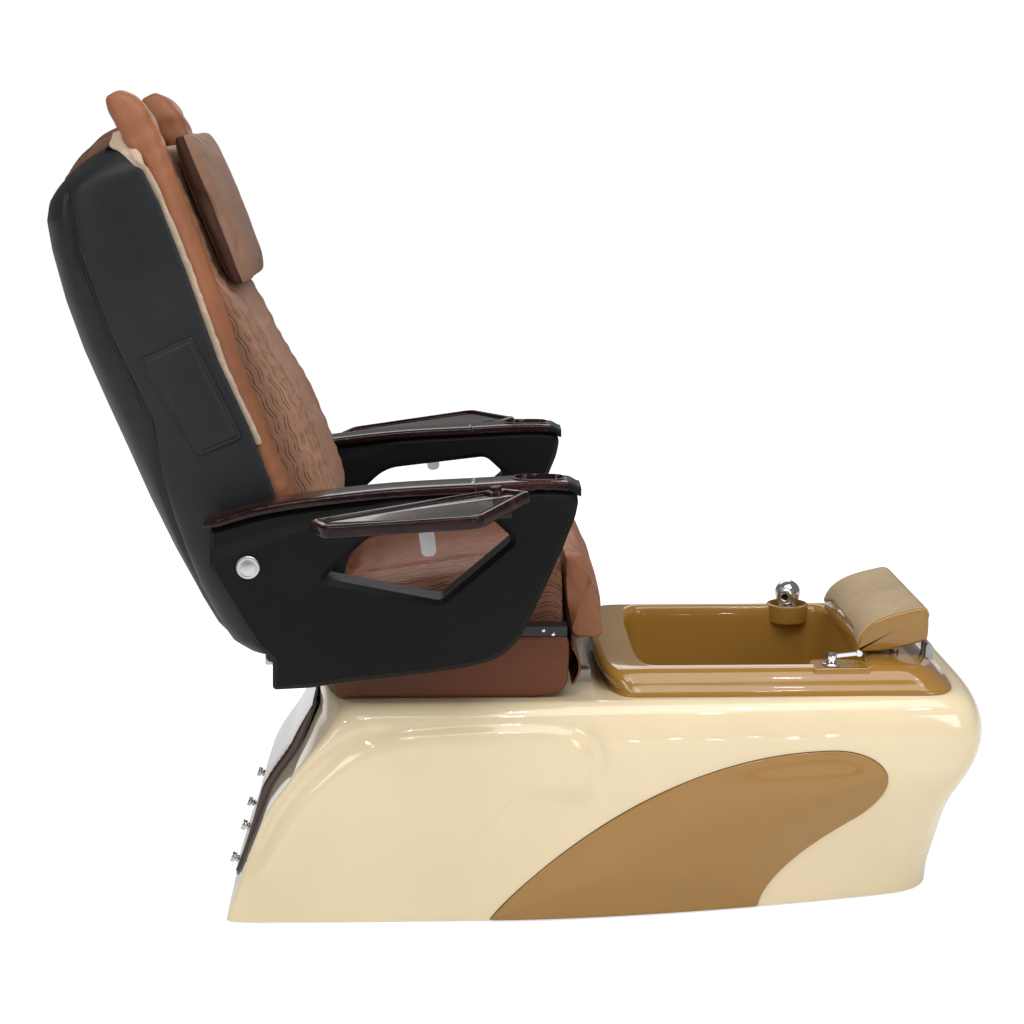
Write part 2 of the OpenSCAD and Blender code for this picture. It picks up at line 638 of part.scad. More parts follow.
// ---- recline actuator ----
recline_range = 35;
recline_y = -70;
crank_pin_radius = 5;
recline_rod_radius = 5;
recline_tube_radius = 9;
recline_z = pivot[1] - crank_length * (1 + cos(recline_range / 2)) / 2;
crank_pin_x = pivot[0] - crank_length * sin(recline_range / 2);
recline_tube_rear = -280;
recline_tube_front = -100;
module recline_actuator() color("dimgray") difference() {
    union() {
        long_pin(recline_tube_rear, recline_tube_front, recline_y, recline_z, recline_tube_radius);
        block(-110, -92, recline_y - 9, recline_y + 9, recline_z - 6, cross_z);
    }
    long_pin(recline_tube_rear - 1, recline_tube_front - 20, recline_y, recline_z, recline_rod_radius + pin_gap);
}
module recline_rod() color("silver") difference() {
    union() {
        long_pin(crank_pin_x + 8, recline_tube_rear + 40, recline_y, recline_z, recline_rod_radius);
        block(crank_pin_x - 12, crank_pin_x + 12, recline_y - 5, recline_y + 5, recline_z - 15, recline_z + 15);
    }
    // Upright slot, open enough for the crank pin's rise and fall
    for (dz = [-5, 5]) cross_pin(crank_pin_x, recline_z + dz, crank_pin_radius + 0.5, -far, far);
    block(crank_pin_x - crank_pin_radius - 0.5, crank_pin_x + crank_pin_radius + 0.5, -far, far,
        recline_z - 5, recline_z + 5);
}

// ---- seat ----
pan_thick = 12;
pan_top = carriage_top + pan_thick;
module seat_pan() color("saddlebrown")
    block(carriage_rear + 6, carriage_front + 3, -lug_y + 2, lug_y - 2, carriage_top, pan_top);
seat_slope = 50;         // how far the seat falls towards the back
function seat_top(x) = deck_height + seat_height
    - seat_slope * pow((seat_front - x) / (seat_front - seat_rear), 0.8);
module seat_cushion() color("sienna") {
    n = 22;
    rings = [for (i = [0:n]) let (
            t = i / n, x = mix(seat_rear, seat_front, (1 - cos(180 * t)) / 2),
            u = (x - seat_rear) / (seat_front - seat_rear),
            soft = pow(1 - pow(abs(2 * u - 1), 10), 0.35),         // rounds the two ends
            base = pan_top + seat_gap, high = seat_top(x),
            middle = (base + high) / 2, half_height = (high - base) / 2,
            half_width = seat_half_width - 6 * sin(180 * u) - 7 * (1 - soft))
        [for (j = [0:25]) let (
                a = 360 * j / 26 + 90, c = cos(a), s = sin(a),
                y = -half_width * sign(c) * pow(abs(c), 0.28),
                rise = s > 0 ? half_height * mix(0.86, 1, soft) * pow(s, 0.28) : -half_height * pow(-s, 0.22),
                arch = (1 - pow(abs(y) / seat_half_width, 2)) * (0.4 + 0.6 * sin(180 * u)),
                crown = s > 0 ? seat_crown * soft * arch : 0,
                channel = s > 0 ? -5 * soft * (bump(y, 130, 9) + bump(y, -130, 9)) : 0)
            [x, y, middle + rise + crown + channel]]];
    loft(rings);
}
module front_cushion() color("sienna") {
    t = front_cushion_thick;
    // Front face from the top edge down, then the face against the seat back up
    front = [[1, 12], [22, 8], [44, -18], [59, -70], [69, -110], [68, -132], [60, -140]];
    rear = [[0.5, -8], [0.6, -18], [59 - t, -70], [69 - t, -110], [70 - t, -132], [76 - t, -140],
        [68, -140.4]];
    middle = [30, -65];
    halves = 13;
    rings = [for (i = [0:halves]) let (
            v = -cos(180 * i / halves), y = seat_half_width * v,
            soft = pow(1 - pow(abs(v), 9), 0.4))
        [for (p = concat(front, flip(rear))) let (q = middle + (p - middle) * mix(0.8, 1, soft)
                + [4 * (1 - v * v) * (p[0] > 40 ? 1 : 0), 0])
            [seat_front + max(q[0], 0.5), y, deck_height + seat_height + q[1]]]];
    loft(flip(rings));
}
module seat_skirts() color("sienna") {
    inner = skirt_outer - skirt_thick;
    low = deck_height + 1;
    x0 = carriage_rear + 20;
    x1 = seat_front + 10;
    outline = [[x0, low + 6], [x0 + 10, low], [x1 - 58, low + 1], [x1 - 16, low + 5], [x1 - 2, low + 24],
        [x1, skirt_top - 17], [x1 - 4, skirt_top - 0.4], [x0 + 150, skirt_top - 0.4], [x0 - 2, pan_top]];
    both_sides() side_prism(outline, inner, skirt_outer);
    // Apron across the front, bowed forwards
    bow = [for (i = [0:8]) let (z = mix(apron_low, apron_high, i / 8)) [apron_x(z), z]];
    side_prism(concat(bow, flip([for (p = bow) p - [apron_thick, 0]])), -skirt_outer, skirt_outer);
}
module arm_bolts() color("gainsboro") both_sides() {
    cross_pin(arm_pivot[0], arm_pivot[1], arm_bolt_radius, bracket_y - 1, arm_outer + 2);
    cross_pin(arm_pivot[0], arm_pivot[1], 19, arm_outer + seat_gap, arm_outer + 6);
}

// ---- back, drawn upright from the recline pivot: x forwards, z along the spine ----
module on_back() translate([pivot[0], 0, pivot[1]]) rotate([0, -back_tilt, 0]) children();
shell_rear_line = [[-40, -124], [54, -141], [144, -156], [251, -165], [327, -172], [442, -182], [588, -187],
    [704, -188], [770, -171], [800, -147], [816, -121], [825, -98]];
shell_front_line = [[-40, 58], [238, 62], [326, 58], [451, 42], [605, 36], [717, 24], [790, 0], [825, -26]];
function shell_rear(z) = along(shell_rear_line, z * 822 / back_shell_height);
function shell_front(z) = along(shell_front_line, z * 822 / back_shell_height);
function shell_half(z) = back_half_width
    - 28 * pow(ease((z - 0.93 * back_shell_height) / (0.07 * back_shell_height)), 2);
function shell_path(z, d) = let (
    rear = shell_rear(z) + d, front = shell_front(z), w = shell_half(z) - d, r = 105,
    half = concat([[front, w, z], [mix(front, rear + r, 0.5), w, z]],
        [for (k = [0:7]) let (a = 90 * k / 7)
            [rear + r * (1 - pow(sin(a), 0.62)), w * pow(cos(a), 0.62), z]]))
    concat(half, [for (i = [len(half) - 2:-1:0]) [half[i][0], -half[i][1], half[i][2]]]);
module back_shell() color("black") on_back() {
    levels = [for (u = [-0.048, 0.065, 0.18, 0.3, 0.42, 0.54, 0.66, 0.77, 0.86, 0.92, 0.955, 0.98])
        u * back_shell_height];
    top = [for (u = [0.985, 1.0]) u * back_shell_height];
    // The last two rings fill the shell's mouth and so close its top
    rings = concat(
        [for (z = levels) concat(shell_path(z, 0), flip(shell_path(z, back_wall)))],
        [for (z = top) let (path = shell_path(z, 0)) concat(path,
            flip([for (p = path) [shell_front(z) - 0.5, p[1] * 0.999, z]]))]);
    loft(flip(rings));
}
frame_x = -20;           // spine tubes and cross bars, forwards of the pivot line
frame_tube = 12;
frame_y = 190;
plate_inner = 140;
massage_low = 110;
frame_top = back_shell_height - 42;
crank_angle = recline_range / 2 + back_tilt;
module back_frame() color("dimgray") on_back() {
    both_sides() {
        translate([0, frame_y, 0]) rotate([0, atan(frame_x / 60), 0]) cylinder(r = frame_tube, h = 62);
        translate([frame_x, frame_y, 55]) cylinder(r = frame_tube, h = frame_top - 55 + frame_tube);
        cross_pin(0, 0, back_pin_radius, lug_y - 10, lug_y + lug_thick + 4);
        // Plates that the pad rests against
        for (z = [160, 420, 680]) {
            block(frame_x, pad_rear - seat_gap, plate_inner, pad_half_width - 6, z, z + 40);
            block(frame_x, frame_x + 6, plate_inner, frame_y, z, z + 40);
        }
    }
    cross_pin(0, 0, back_pin_radius + 6, -lug_y + 2, lug_y - 2);
    for (z = [massage_low, frame_top]) cross_pin(frame_x, z, 10, -frame_y, frame_y);
    // Crank that the recline rod pushes
    pin = [-crank_length * sin(crank_angle), -crank_length * cos(crank_angle)];
    for (y = [recline_y - 14, recline_y + 8])
        difference() {
            union() {
                side_prism([[-12, 6], pin + [-8, 4], pin + [8, -5], [13, -4]], y, y + 6);
                cross_pin(pin[0], pin[1], 10, y, y + 6);
            }
            cross_pin(pin[0], pin[1], crank_pin_radius - 0.01, y - 1, y + 7);
        }
    cross_pin(pin[0], pin[1], crank_pin_radius, recline_y - 14, recline_y + 14);
}
pad_half_width = 170;
pad_rear = 28;
pad_low = 92;
pad_high = back_shell_height - 22;
pad_front_line = [[92, 118], [170, 148], [313, 142], [430, 118], [535, 100], [580, 84], [660, 78],
    [800, 68]];
module back_pad() color("sienna") on_back() {
    n = 26;
    rings = [for (i = [0:n]) let (
            t = i / n, z = mix(pad_low, pad_high, t), front = eased(pad_front_line, z),
            soft = pow(1 - pow(abs(2 * t - 1), 14), 0.4), w = pad_half_width - 2 * (1 - soft))
        [for (j = [0:23]) let (
                a = 15 * j + 7.5, c = cos(a), s = sin(a), y = w * sign(c) * pow(abs(c), 0.3),
                deep = (front - pad_rear) * mix(0.7, 1, soft),
                channel = 7 * soft * (bump(y, 118, 8) + bump(y, -118, 8)),
                x = s > 0 ? pad_rear + deep * (0.35 + 0.65 * pow(s, 0.35)) - channel
                    : pad_rear + deep * 0.35 * (1 - pow(-s, 0.2)),
                rib = s > 0.3 && abs(y) < 105 ? 2.5 * cos(z * 12) : 0)
            [x + rib, -y, z]]];
    loft(flip(rings));
}
bolster_inner = pad_half_width;
bolster_outer = back_half_width - back_wall - 4.5;
bolster_line = [[62, 90], [211, 89], [300, 84], [406, 78], [558, 79], [693, 74], [794, 66], [850, 56],
    [880, 46], [900, 30]];
bolster_low = 62;
bolster_high = back_shell_height + 78;
module bolster() {
    n = 30;
    rings = [for (i = [0:n]) let (
            t = i / n, z = mix(bolster_low, bolster_high, 1 - pow(1 - t, 1.25)),
            soft = pow(1 - pow(abs(2 * (z - bolster_low) / (bolster_high - bolster_low) - 1), 26), 0.5),
            front = along(bolster_line, z), full = z > 700 ? mix(58, 44, (z - 700) / 200) : 58,
            deep = full * mix(0.25, 1, soft),
            rear = front - deep - 6 * (1 - soft), mid_y = (bolster_inner + bolster_outer) / 2,
            w = (bolster_outer - bolster_inner) / 2 * mix(0.45, 1, soft))
        [for (j = [0:13]) let (a = 360 * j / 14, c = cos(a), s = sin(a))
            [rear + deep / 2 + deep / 2 * sign(s) * pow(abs(s), 0.7), mid_y - w * sign(c) * pow(abs(c), 0.7), z]]];
    loft(flip(rings));
}
module bolster_left() color("sienna") on_back() bolster();
module bolster_right() color("sienna") on_back() mirror([0, 1, 0]) bolster();
module back_liner() color("antiquewhite") on_back() both_sides() {
    stops = [for (z = [300:65:755]) z];
    top = [760, 790, 805, 850];
    side_prism(concat([for (z = stops) [shell_front(z) - 14, z]], [for (z = top) [shell_front(z) + 0.5, z]],
        flip([for (z = concat(stops, top)) [max(shell_front(z) + 12, along(bolster_line, z) - 36), z]])),
        bolster_outer + seat_gap, back_half_width - back_wall - seat_gap);
}
pillow_low = back_shell_height - 270;
pillow_high = back_shell_height - 16;
module head_pillow() color("sienna") on_back() {
    n = 14;
    rings = [for (i = [0:n]) let (
            t = (1 - cos(180 * i / n)) / 2, z = mix(pillow_low, pillow_high, t),
            soft = pow(1 - pow(abs(2 * t - 1), 5), 0.45),
            rear = mix(86.5, 71.5, t), deep = 49,
            w = pillow_half_width * mix(0.94, 1, soft) - 4 * sin(180 * t))
        [for (j = [0:19]) let (a = 18 * j + 9, c = cos(a), s = sin(a))
            [rear + deep / 2 + deep / 2 * mix(0.25, 1, soft) * sign(s) * pow(abs(s), 0.45)
                * (s > 0 ? 1 : 0.96), -w * sign(c) * pow(abs(c), 0.32), z]]];
    loft(flip(rings));
}
module cover_flap() color("sienna") on_back() {
    h = back_shell_height + 3;
    side_prism([[-60, h + 0.4], [-98, h + 0.4], [-122, h - 8.4], [-148, h - 24.2], [-157, h - 34], [-162, h - 32],
        [-151, h - 18], [-127, h - 2], [-100, h + 9], [-60, h + 17], [20, h + 21], [20, h + 13], [-26, h + 4]],
        -150, 150);
}
pocket_outline = [[-74, 490], [-31, 312], [46, 318], [22, 500]];
module back_pockets() color("black") on_back() both_sides()
    side_prism(pocket_outline, back_half_width + seat_gap, back_half_width + 4);

// ---- massage unit inside the back ----
massage_rail_low = massage_low - 8;
massage_rail_half = 6;
unit_plate = 30;         // height of the plate that runs on the rails
carriage_start = 175;
axle_x = 0;
axle_up = 65;            // the roller axle above the carriage's lower edge
module massage_rails() color("silver") on_back() both_sides()
    translate([frame_x + 10, massage_rail_half_span, 0]) {
        block(0, 12, -massage_rail_half, massage_rail_half, massage_rail_low, frame_top + 8);
        // Stop at the end of the massage unit's travel
        translate([0, 0, carriage_start + unit_plate + massage_travel + slide_gap])
            block(2, 10, 0, massage_rail_half + 6, 0, 8);
    }
module massage_carriage() color("dimgray") on_back() {
    z0 = carriage_start;
    x0 = frame_x + 10;
    y1 = massage_rail_half_span + massage_rail_half + seat_gap;
    block(x0 - 7, x0 - seat_gap, -y1 - 6, y1 + 6, z0, z0 + unit_plate);
    block(x0 - 34, x0 + 4, -28, 28, z0, z0 + 100);
    both_sides() {
        block(x0 - 2, x0 + 12, y1, y1 + 6, z0, z0 + unit_plate);
        block(x0 - 4, x0 + 22, 26, 34, z0 + axle_up - 12, z0 + axle_up + 12);
        cross_pin(axle_x, z0 + axle_up, 5, 30, 74);
    }
}
module roller() on_back() difference() {
    union() {
        cross_pin(axle_x, carriage_start + axle_up, roller_radius, 44, 64);
        cross_pin(axle_x, carriage_start + axle_up, roller_radius - 8, 40, 70);
    }
    cross_pin(axle_x, carriage_start + axle_up, 5 + pin_gap, 0, far);
}
module roller_left() color("ivory") roller();
module roller_right() color("ivory") mirror([0, 1, 0]) roller();

// ---- arms, drawn on the sitter's left ----
// Heights in the arm's outlines are above the deck
arm_top_line = [[-498, 313], [-407, 339], [-300, 355], [-187, 366], [-68, 372], [45, 377], [97, 374]];
arm_split = -68;         // where the cap meets the cup holder
arm_front = 97;
arm_middle = (arm_inner + arm_outer) / 2;
function arm_top(x) = deck_height + along(arm_top_line, x);
function above_deck(points) = [for (p = points) p + [0, deck_height]];
arm_outline = concat(above_deck([[-490, 300], [-491, 234], [-421, 111], [-394, 86], [-395, 37], [-331, 40],
        [-286, 48], [-189, 58], [-93, 70], [-45, 81], [-20, 94], [4, 119], [36, 185], [72, 266], [80, 288],
        [92, 317], [arm_front, 343]]),
    [for (x = [94, 45, arm_split, -187, -300, -407]) [x, arm_top(x) - cap_thick - seat_gap]]);
arm_opening = above_deck([[-310, 221], [-123, 183], [-6, 283], [-41, 316], [-230, 294]]);
cup_x = [22, 48];        // middles of the cup recess's two round ends
cup_radius = 26;
cup_depth = 24;
module cup_shape(r, z0, z1) {
    for (x = cup_x) translate([x, arm_middle, z0]) cylinder(r = r, h = z1 - z0);
    block(cup_x[0], cup_x[1], arm_middle - r, arm_middle + r, z0, z1);
}
module arm_cover(y0, y1, wall0, wall1) difference() {
    union() {
        difference() {
            side_prism(arm_outline, y0, y1);
            translate([0, y1 - wall1, 0]) rotate([90, 0, 0]) linear_extrude(y1 - wall1 - y0 - wall0)
                difference() {
                    polygon(inset(arm_outline, arm_wall));
                    polygon(inset(arm_opening, -arm_wall));
                }
        }
        cross_pin(arm_pivot[0], arm_pivot[1], arm_bolt_radius + 8, y0, y1);
    }
    side_prism(arm_opening, y0 - 1, y1 + 1);
    cross_pin(arm_pivot[0], arm_pivot[1], arm_bolt_radius + pin_gap, 0, far);
    cup_shape(cup_radius + 4, arm_top(arm_front) - cup_depth - 12, far);
}
module arm_outer_cover() arm_cover(arm_middle + 0.15, arm_outer, -0.1, arm_wall);
module arm_inner_cover() arm_cover(arm_inner, arm_middle - 0.15, arm_wall, -0.1);
module arm_cap() {
    stops = [-498, -407, -300, -187, arm_split];
    side_prism(concat([for (x = stops) [x, arm_top(x) - (x == -498 ? 8 : cap_thick)]],
        flip([for (x = stops) [x, arm_top(x)]])), arm_inner - 2, arm_outer + 0.5);
}
module cup_holder() {
    stops = [arm_split + 0.6, 45, arm_front + 4];
    top = arm_top(45) + 2;
    difference() {
        union() {
            side_prism(concat([for (x = stops) [x, arm_top(x) - cap_thick]],
                flip([for (x = stops) [x, arm_top(x)]])), arm_inner - 2, arm_outer + 0.5);
            cup_shape(cup_radius + 3, top - cup_depth - 6, top);
        }
        cup_shape(cup_radius, top - cup_depth, far);
    }
}

// ---- trays, drawn on the sitter's left in the tilted plane of the tray's top ----
module on_tray() translate([-tray_pivot_back, tray_pivot_out, deck_height + tray_height])
    rotate([0, -tray_tilt, 0]) children();
hinge_round = 16;
function arc(centre, r, a0, a1, n) = [for (i = [0:n]) let (a = mix(a0, a1, i / n)) centre + r * [cos(a), sin(a)]];
// Leaf outline moved inwards by d
function leaf(d) = concat(
    arc([0, 0], hinge_round - d, 250, 315, 4),
    arc([36, 42], 15 - d, -40, 60, 4),
    arc([-42, 178], 26 - d, 40, 105, 5),
    arc([-238, 126], 24 - d, 105, 150, 3),
    arc([-258, 90], 17 - d, 150, 250, 4));
module tray() on_tray() difference() {
    translate([0, 0, -tray_thick]) linear_extrude(tray_thick) polygon(leaf(0));
    difference() {
        translate([0, 0, -5]) linear_extrude(10) polygon(leaf(12));
        translate([0, 0, -6]) cylinder(r = 20, h = 12);
    }
    translate([0, 0, -50]) cylinder(r = tray_pin_radius + pin_gap, h = 100);
}
module tray_hinge() on_tray() {
    reach = arm_outer - tray_pivot_out;
    translate([-20, reach, -tray_thick - 24]) cube([40, 18 - reach, 24 - seat_gap]);
    translate([0, 0, -tray_thick - 10]) cylinder(r = tray_pin_radius, h = tray_thick + 14);
    translate([0, 0, seat_gap]) cylinder(r = 9, h = 5);
}
latch_spot = [-115, 34];
module tray_latch() on_tray() translate([latch_spot[0], latch_spot[1], -tray_thick - seat_gap]) {
    translate([0, 0, -50]) cylinder(r = 5, h = 50);
    translate([-12, 3, -66]) cube([24, 3.5, 62]);
}
module arm_outer_cover_left() color("black") arm_outer_cover();
module arm_inner_cover_left() color("black") arm_inner_cover();
module arm_cap_left() color("maroon") arm_cap();
module cup_holder_left() color("maroon") cup_holder();
module tray_hinge_left() color("black") tray_hinge();
module tray_left() color("maroon") tray();
module tray_latch_left() color("lightgray") tray_latch();
module arm_outer_cover_right() color("black") on_side(-1) arm_outer_cover();
module arm_inner_cover_right() color("black") on_side(-1) arm_inner_cover();
module arm_cap_right() color("maroon") on_side(-1) arm_cap();
module cup_holder_right() color("maroon") on_side(-1) cup_holder();
module tray_hinge_right() color("black") on_side(-1) tray_hinge();
module tray_right() color("maroon") on_side(-1) tray();
module tray_latch_right() color("lightgray") on_side(-1) tray_latch();

base_shell();
side_inlays();
tub();
chassis();
levelling_feet();
slide_rails();
seat_actuator();
rear_door();
door_seal();
door_knobs();
drain_fitting();
drain_stopper();
jet_motor();
jet_cover();
jet_impeller();
sprayer_collar();
sprayer_head();
valve_base();
valve_turret();
valve_lever();
footrest_hinge();
footrest_shell();
footrest_cover();
runners();
carriage_frame();
seat_actuator_rod();
recline_actuator();
recline_rod();
seat_pan();
seat_cushion();
front_cushion();
seat_skirts();
arm_bolts();
back_frame();
back_shell();
back_pad();
bolster_right();
bolster_left();
back_liner();
head_pillow();
cover_flap();
back_pockets();
massage_rails();
massage_carriage();
roller_right();
roller_left();
arm_outer_cover_right();
arm_inner_cover_right();
arm_cap_right();
cup_holder_right();
tray_hinge_right();
tray_right();
tray_latch_right();
arm_outer_cover_left();
arm_inner_cover_left();
arm_cap_left();
cup_holder_left();
tray_hinge_left();
tray_left();
tray_latch_left();
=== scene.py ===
import json
import math

import bmesh
import bpy
import numpy as np
from mathutils import Euler, Matrix, Vector, noise


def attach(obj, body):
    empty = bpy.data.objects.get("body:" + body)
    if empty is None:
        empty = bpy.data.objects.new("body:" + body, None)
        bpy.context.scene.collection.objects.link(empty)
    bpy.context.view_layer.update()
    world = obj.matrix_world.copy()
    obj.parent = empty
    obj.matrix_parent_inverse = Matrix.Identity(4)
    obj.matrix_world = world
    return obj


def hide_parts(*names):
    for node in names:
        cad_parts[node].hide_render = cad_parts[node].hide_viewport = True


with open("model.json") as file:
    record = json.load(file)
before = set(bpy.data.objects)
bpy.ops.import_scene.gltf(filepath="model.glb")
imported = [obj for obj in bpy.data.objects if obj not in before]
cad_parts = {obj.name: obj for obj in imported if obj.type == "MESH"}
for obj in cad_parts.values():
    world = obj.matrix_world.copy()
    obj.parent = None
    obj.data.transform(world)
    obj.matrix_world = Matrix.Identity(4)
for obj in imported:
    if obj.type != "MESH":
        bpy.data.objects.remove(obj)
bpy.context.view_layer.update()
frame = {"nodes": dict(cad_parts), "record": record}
mm = 0.001


# numbers and lines

def mix(a, b, t):
    return a + (b - a) * t


def ease(t):
    t = np.clip(t, 0.0, 1.0)
    return t * t * (3 - 2 * t)


def bump(t, middle, half):
    return np.exp(-((t - middle) / half) ** 2)


def along(pairs, at):
    xs, ys = zip(*pairs)
    return np.interp(at, xs, ys)


def flow(pairs, at):
    # smooth curve through [at, value] pairs that never overshoots between them
    x, y = np.array(pairs, float).T
    h = np.diff(x)
    slope = np.diff(y) / h
    tangent = np.zeros(len(x))
    tangent[0], tangent[-1] = slope[0], slope[-1]
    for i in range(1, len(x) - 1):
        if slope[i - 1] * slope[i] > 0:
            w1, w2 = 2 * h[i] + h[i - 1], h[i] + 2 * h[i - 1]
            tangent[i] = (w1 + w2) / (w1 / slope[i - 1] + w2 / slope[i])
    at = np.clip(np.asarray(at, float), x[0], x[-1])
    k = np.clip(np.searchsorted(x, at) - 1, 0, len(h) - 1)
    t = (at - x[k]) / h[k]
    return (y[k] * (1 + 2 * t) * (1 - t) ** 2 + tangent[k] * h[k] * t * (1 - t) ** 2
            + y[k + 1] * t * t * (3 - 2 * t) + tangent[k + 1] * h[k] * t * t * (t - 1))


def throughPoints(points, count):
    # points spread evenly along a smooth line through the given ones
    p = np.array(points, float)
    p = np.vstack([2 * p[0] - p[1], p, 2 * p[-1] - p[-2]])
    dense = []
    for i in range(1, len(p) - 2):
        t = np.linspace(0, 1, 24, endpoint=False)[:, None]
        a, b, c, d = p[i - 1], p[i], p[i + 1], p[i + 2]
        dense.append(0.5 * (2 * b + (c - a) * t + (2 * a - 5 * b + 4 * c - d) * t ** 2
                            + (3 * b - a - 3 * c + d) * t ** 3))
    return spread(np.vstack(dense + [p[-2][None]]), count)


def spread(line, count, closed=False):
    # the same line with its points at even distances
    line = np.array(line, float)
    if closed and not np.allclose(line[0], line[-1]):
        line = np.vstack([line, line[:1]])
    run = np.concatenate([[0], np.cumsum(np.linalg.norm(np.diff(line, axis=0), axis=1))])
    stops = np.linspace(0, run[-1], count, endpoint=not closed)
    return np.stack([np.interp(stops, run, line[:, i]) for i in range(line.shape[1])], axis=1)


def rounded(outline, radius, steps=5):
    # every corner becomes an arc; radius is one number or one for each corner
    p = [Vector(q) for q in outline]
    n = len(p)
    radii = list(radius) if hasattr(radius, "__len__") else [radius] * n
    out = []
    for i in range(n):
        a, b, c = p[i - 1], p[i], p[(i + 1) % n]
        u, v = (a - b), (c - b)
        reach = min(radii[i], 0.48 * u.length, 0.48 * v.length)
        start, end = b + u.normalized() * reach, b + v.normalized() * reach
        for k in range(steps + 1):
            t = k / steps
            out.append(start * (1 - t) ** 2 + b * 2 * t * (1 - t) + end * t * t)
    return [tuple(q) for q in out]


# shader maths

class Value:
    def __init__(self, finish, socket):
        self.finish = finish
        self.socket = socket

    def calc(self, operation, *others, clamp=False):
        return self.finish.calc(operation, self, *others, clamp=clamp)

    def __add__(self, other):
        return self.calc("ADD", other)

    __radd__ = __add__

    def __sub__(self, other):
        return self.calc("SUBTRACT", other)

    def __rsub__(self, other):
        return self.finish.calc("SUBTRACT", other, self)

    def __mul__(self, other):
        return self.calc("MULTIPLY", other)

    __rmul__ = __mul__

    def limit(self):
        return self.calc("ADD", 0.0, clamp=True)

    def between(self, low, high):
        # 0 below low, 1 above high, smooth between
        return self.finish.node("ShaderNodeMapRange", {"interpolation_type": "SMOOTHSTEP"},
                                {"Value": self, "From Min": low, "From Max": high})


class Finish:
    def __init__(self, name, colour, roughness, **constants):
        self.material = bpy.data.materials.new(name)
        self.material.use_nodes = True
        self.tree = self.material.node_tree
        self.shader = self.tree.nodes["Principled BSDF"]
        self.shader.inputs["Base Color"].default_value = (*colour, 1)
        self.shader.inputs["Roughness"].default_value = roughness
        for key, value in constants.items():
            self.shader.inputs[key.replace("_", " ")].default_value = value
        self.place = self.node("ShaderNodeTexCoord", output="Object")

    def node(self, kind, settings=None, sockets=None, output=0):
        made = self.tree.nodes.new(kind)
        for key, value in (settings or {}).items():
            setattr(made, key, value)
        for key, value in (sockets or {}).items():
            if isinstance(value, Value):
                self.tree.links.new(value.socket, made.inputs[key])
            else:
                made.inputs[key].default_value = value
        return Value(self, made.outputs[output])

    def calc(self, operation, *values, clamp=False):
        return self.node("ShaderNodeMath", {"operation": operation, "use_clamp": clamp},
                         dict(enumerate(values)))

    def stretched(self, scale):
        return self.node("ShaderNodeMapping", {}, {"Vector": self.place, "Scale": scale})

    def noise(self, scale, detail=2.0, rough=0.5, where=None, twist=0.0):
        return self.node("ShaderNodeTexNoise", {}, {
            "Vector": where or self.place, "Scale": scale, "Detail": detail, "Roughness": rough,
            "Distortion": twist})

    def cells(self, scale):
        return self.node("ShaderNodeTexVoronoi", {}, {"Vector": self.place, "Scale": scale},
                         output="Distance")

    def attribute(self, name):
        return self.node("ShaderNodeAttribute", {"attribute_name": name}, output="Fac")

    def blendColours(self, factor, a, b):
        made = self.tree.nodes.new("ShaderNodeMix")
        made.data_type = "RGBA"
        for index, value in ((0, factor), (6, a), (7, b)):
            if isinstance(value, Value):
                self.tree.links.new(value.socket, made.inputs[index])
            else:
                made.inputs[index].default_value = value if index == 0 else (*value[:3], 1)
        return Value(self, made.outputs[2])

    def colour(self, value):
        self.tree.links.new(value.socket, self.shader.inputs["Base Color"])

    def vary(self, name, value):
        self.tree.links.new(value.socket, self.shader.inputs[name])

    def height(self, value, depth):
        # depth in metres for a height of 1
        normal = self.node("ShaderNodeBump", {}, {"Height": value, "Distance": depth, "Strength": 1.0})
        self.tree.links.new(normal.socket, self.shader.inputs["Normal"])


def shade(colour, factor):
    return tuple(min(1.0, c * factor) for c in colour)


# finishes

def gelcoat(name, colour):
    f = Finish(name, colour, 0.22, Coat_Weight=1.0, Coat_Roughness=0.025, IOR=1.45,
               Specular_IOR_Level=0.25)
    cloud = f.noise(3.0, 3, 0.55)
    f.colour(f.blendColours(cloud.between(0.3, 0.7), shade(colour, 0.965), shade(colour, 1.03)))
    f.vary("Roughness", 0.13 + 0.08 * f.noise(14.0, 2))
    peel = f.noise(160.0, 1) + 3.0 * f.noise(9.0, 1)
    f.height(peel, 0.00012)
    return f.material


pores = 620.0


def leather(name, colour, roughness=0.46, crease=1.0, edging=None):
    f = Finish(name, colour, roughness, Specular_IOR_Level=0.3)
    patch = f.noise(5.0, 4, 0.6)
    pore = f.cells(pores)
    fold = f.noise(26.0, 5, 0.62, twist=0.8)
    worn = f.noise(60.0, 3, 0.6)
    tone = f.blendColours(patch.between(0.3, 0.72), shade(colour, 0.84), shade(colour, 1.14))
    tone = f.blendColours(worn.between(0.45, 0.75) * 0.35, tone, shade(colour, 1.22))
    tone = f.blendColours((1 - pore.between(0.0, 0.5)) * 0.35, tone, shade(colour, 0.72))
    # painted shade: where a piece marks it, the tone goes to the given darker colour
    if edging:
        tone = f.blendColours(f.attribute("edging").between(0.42, 0.58), tone, edging)
    f.colour(tone)
    f.vary("Roughness", roughness - 0.06 + 0.14 * patch)
    f.height(pore * 0.22 + fold * crease + worn * 0.3, 0.0011)
    return f.material


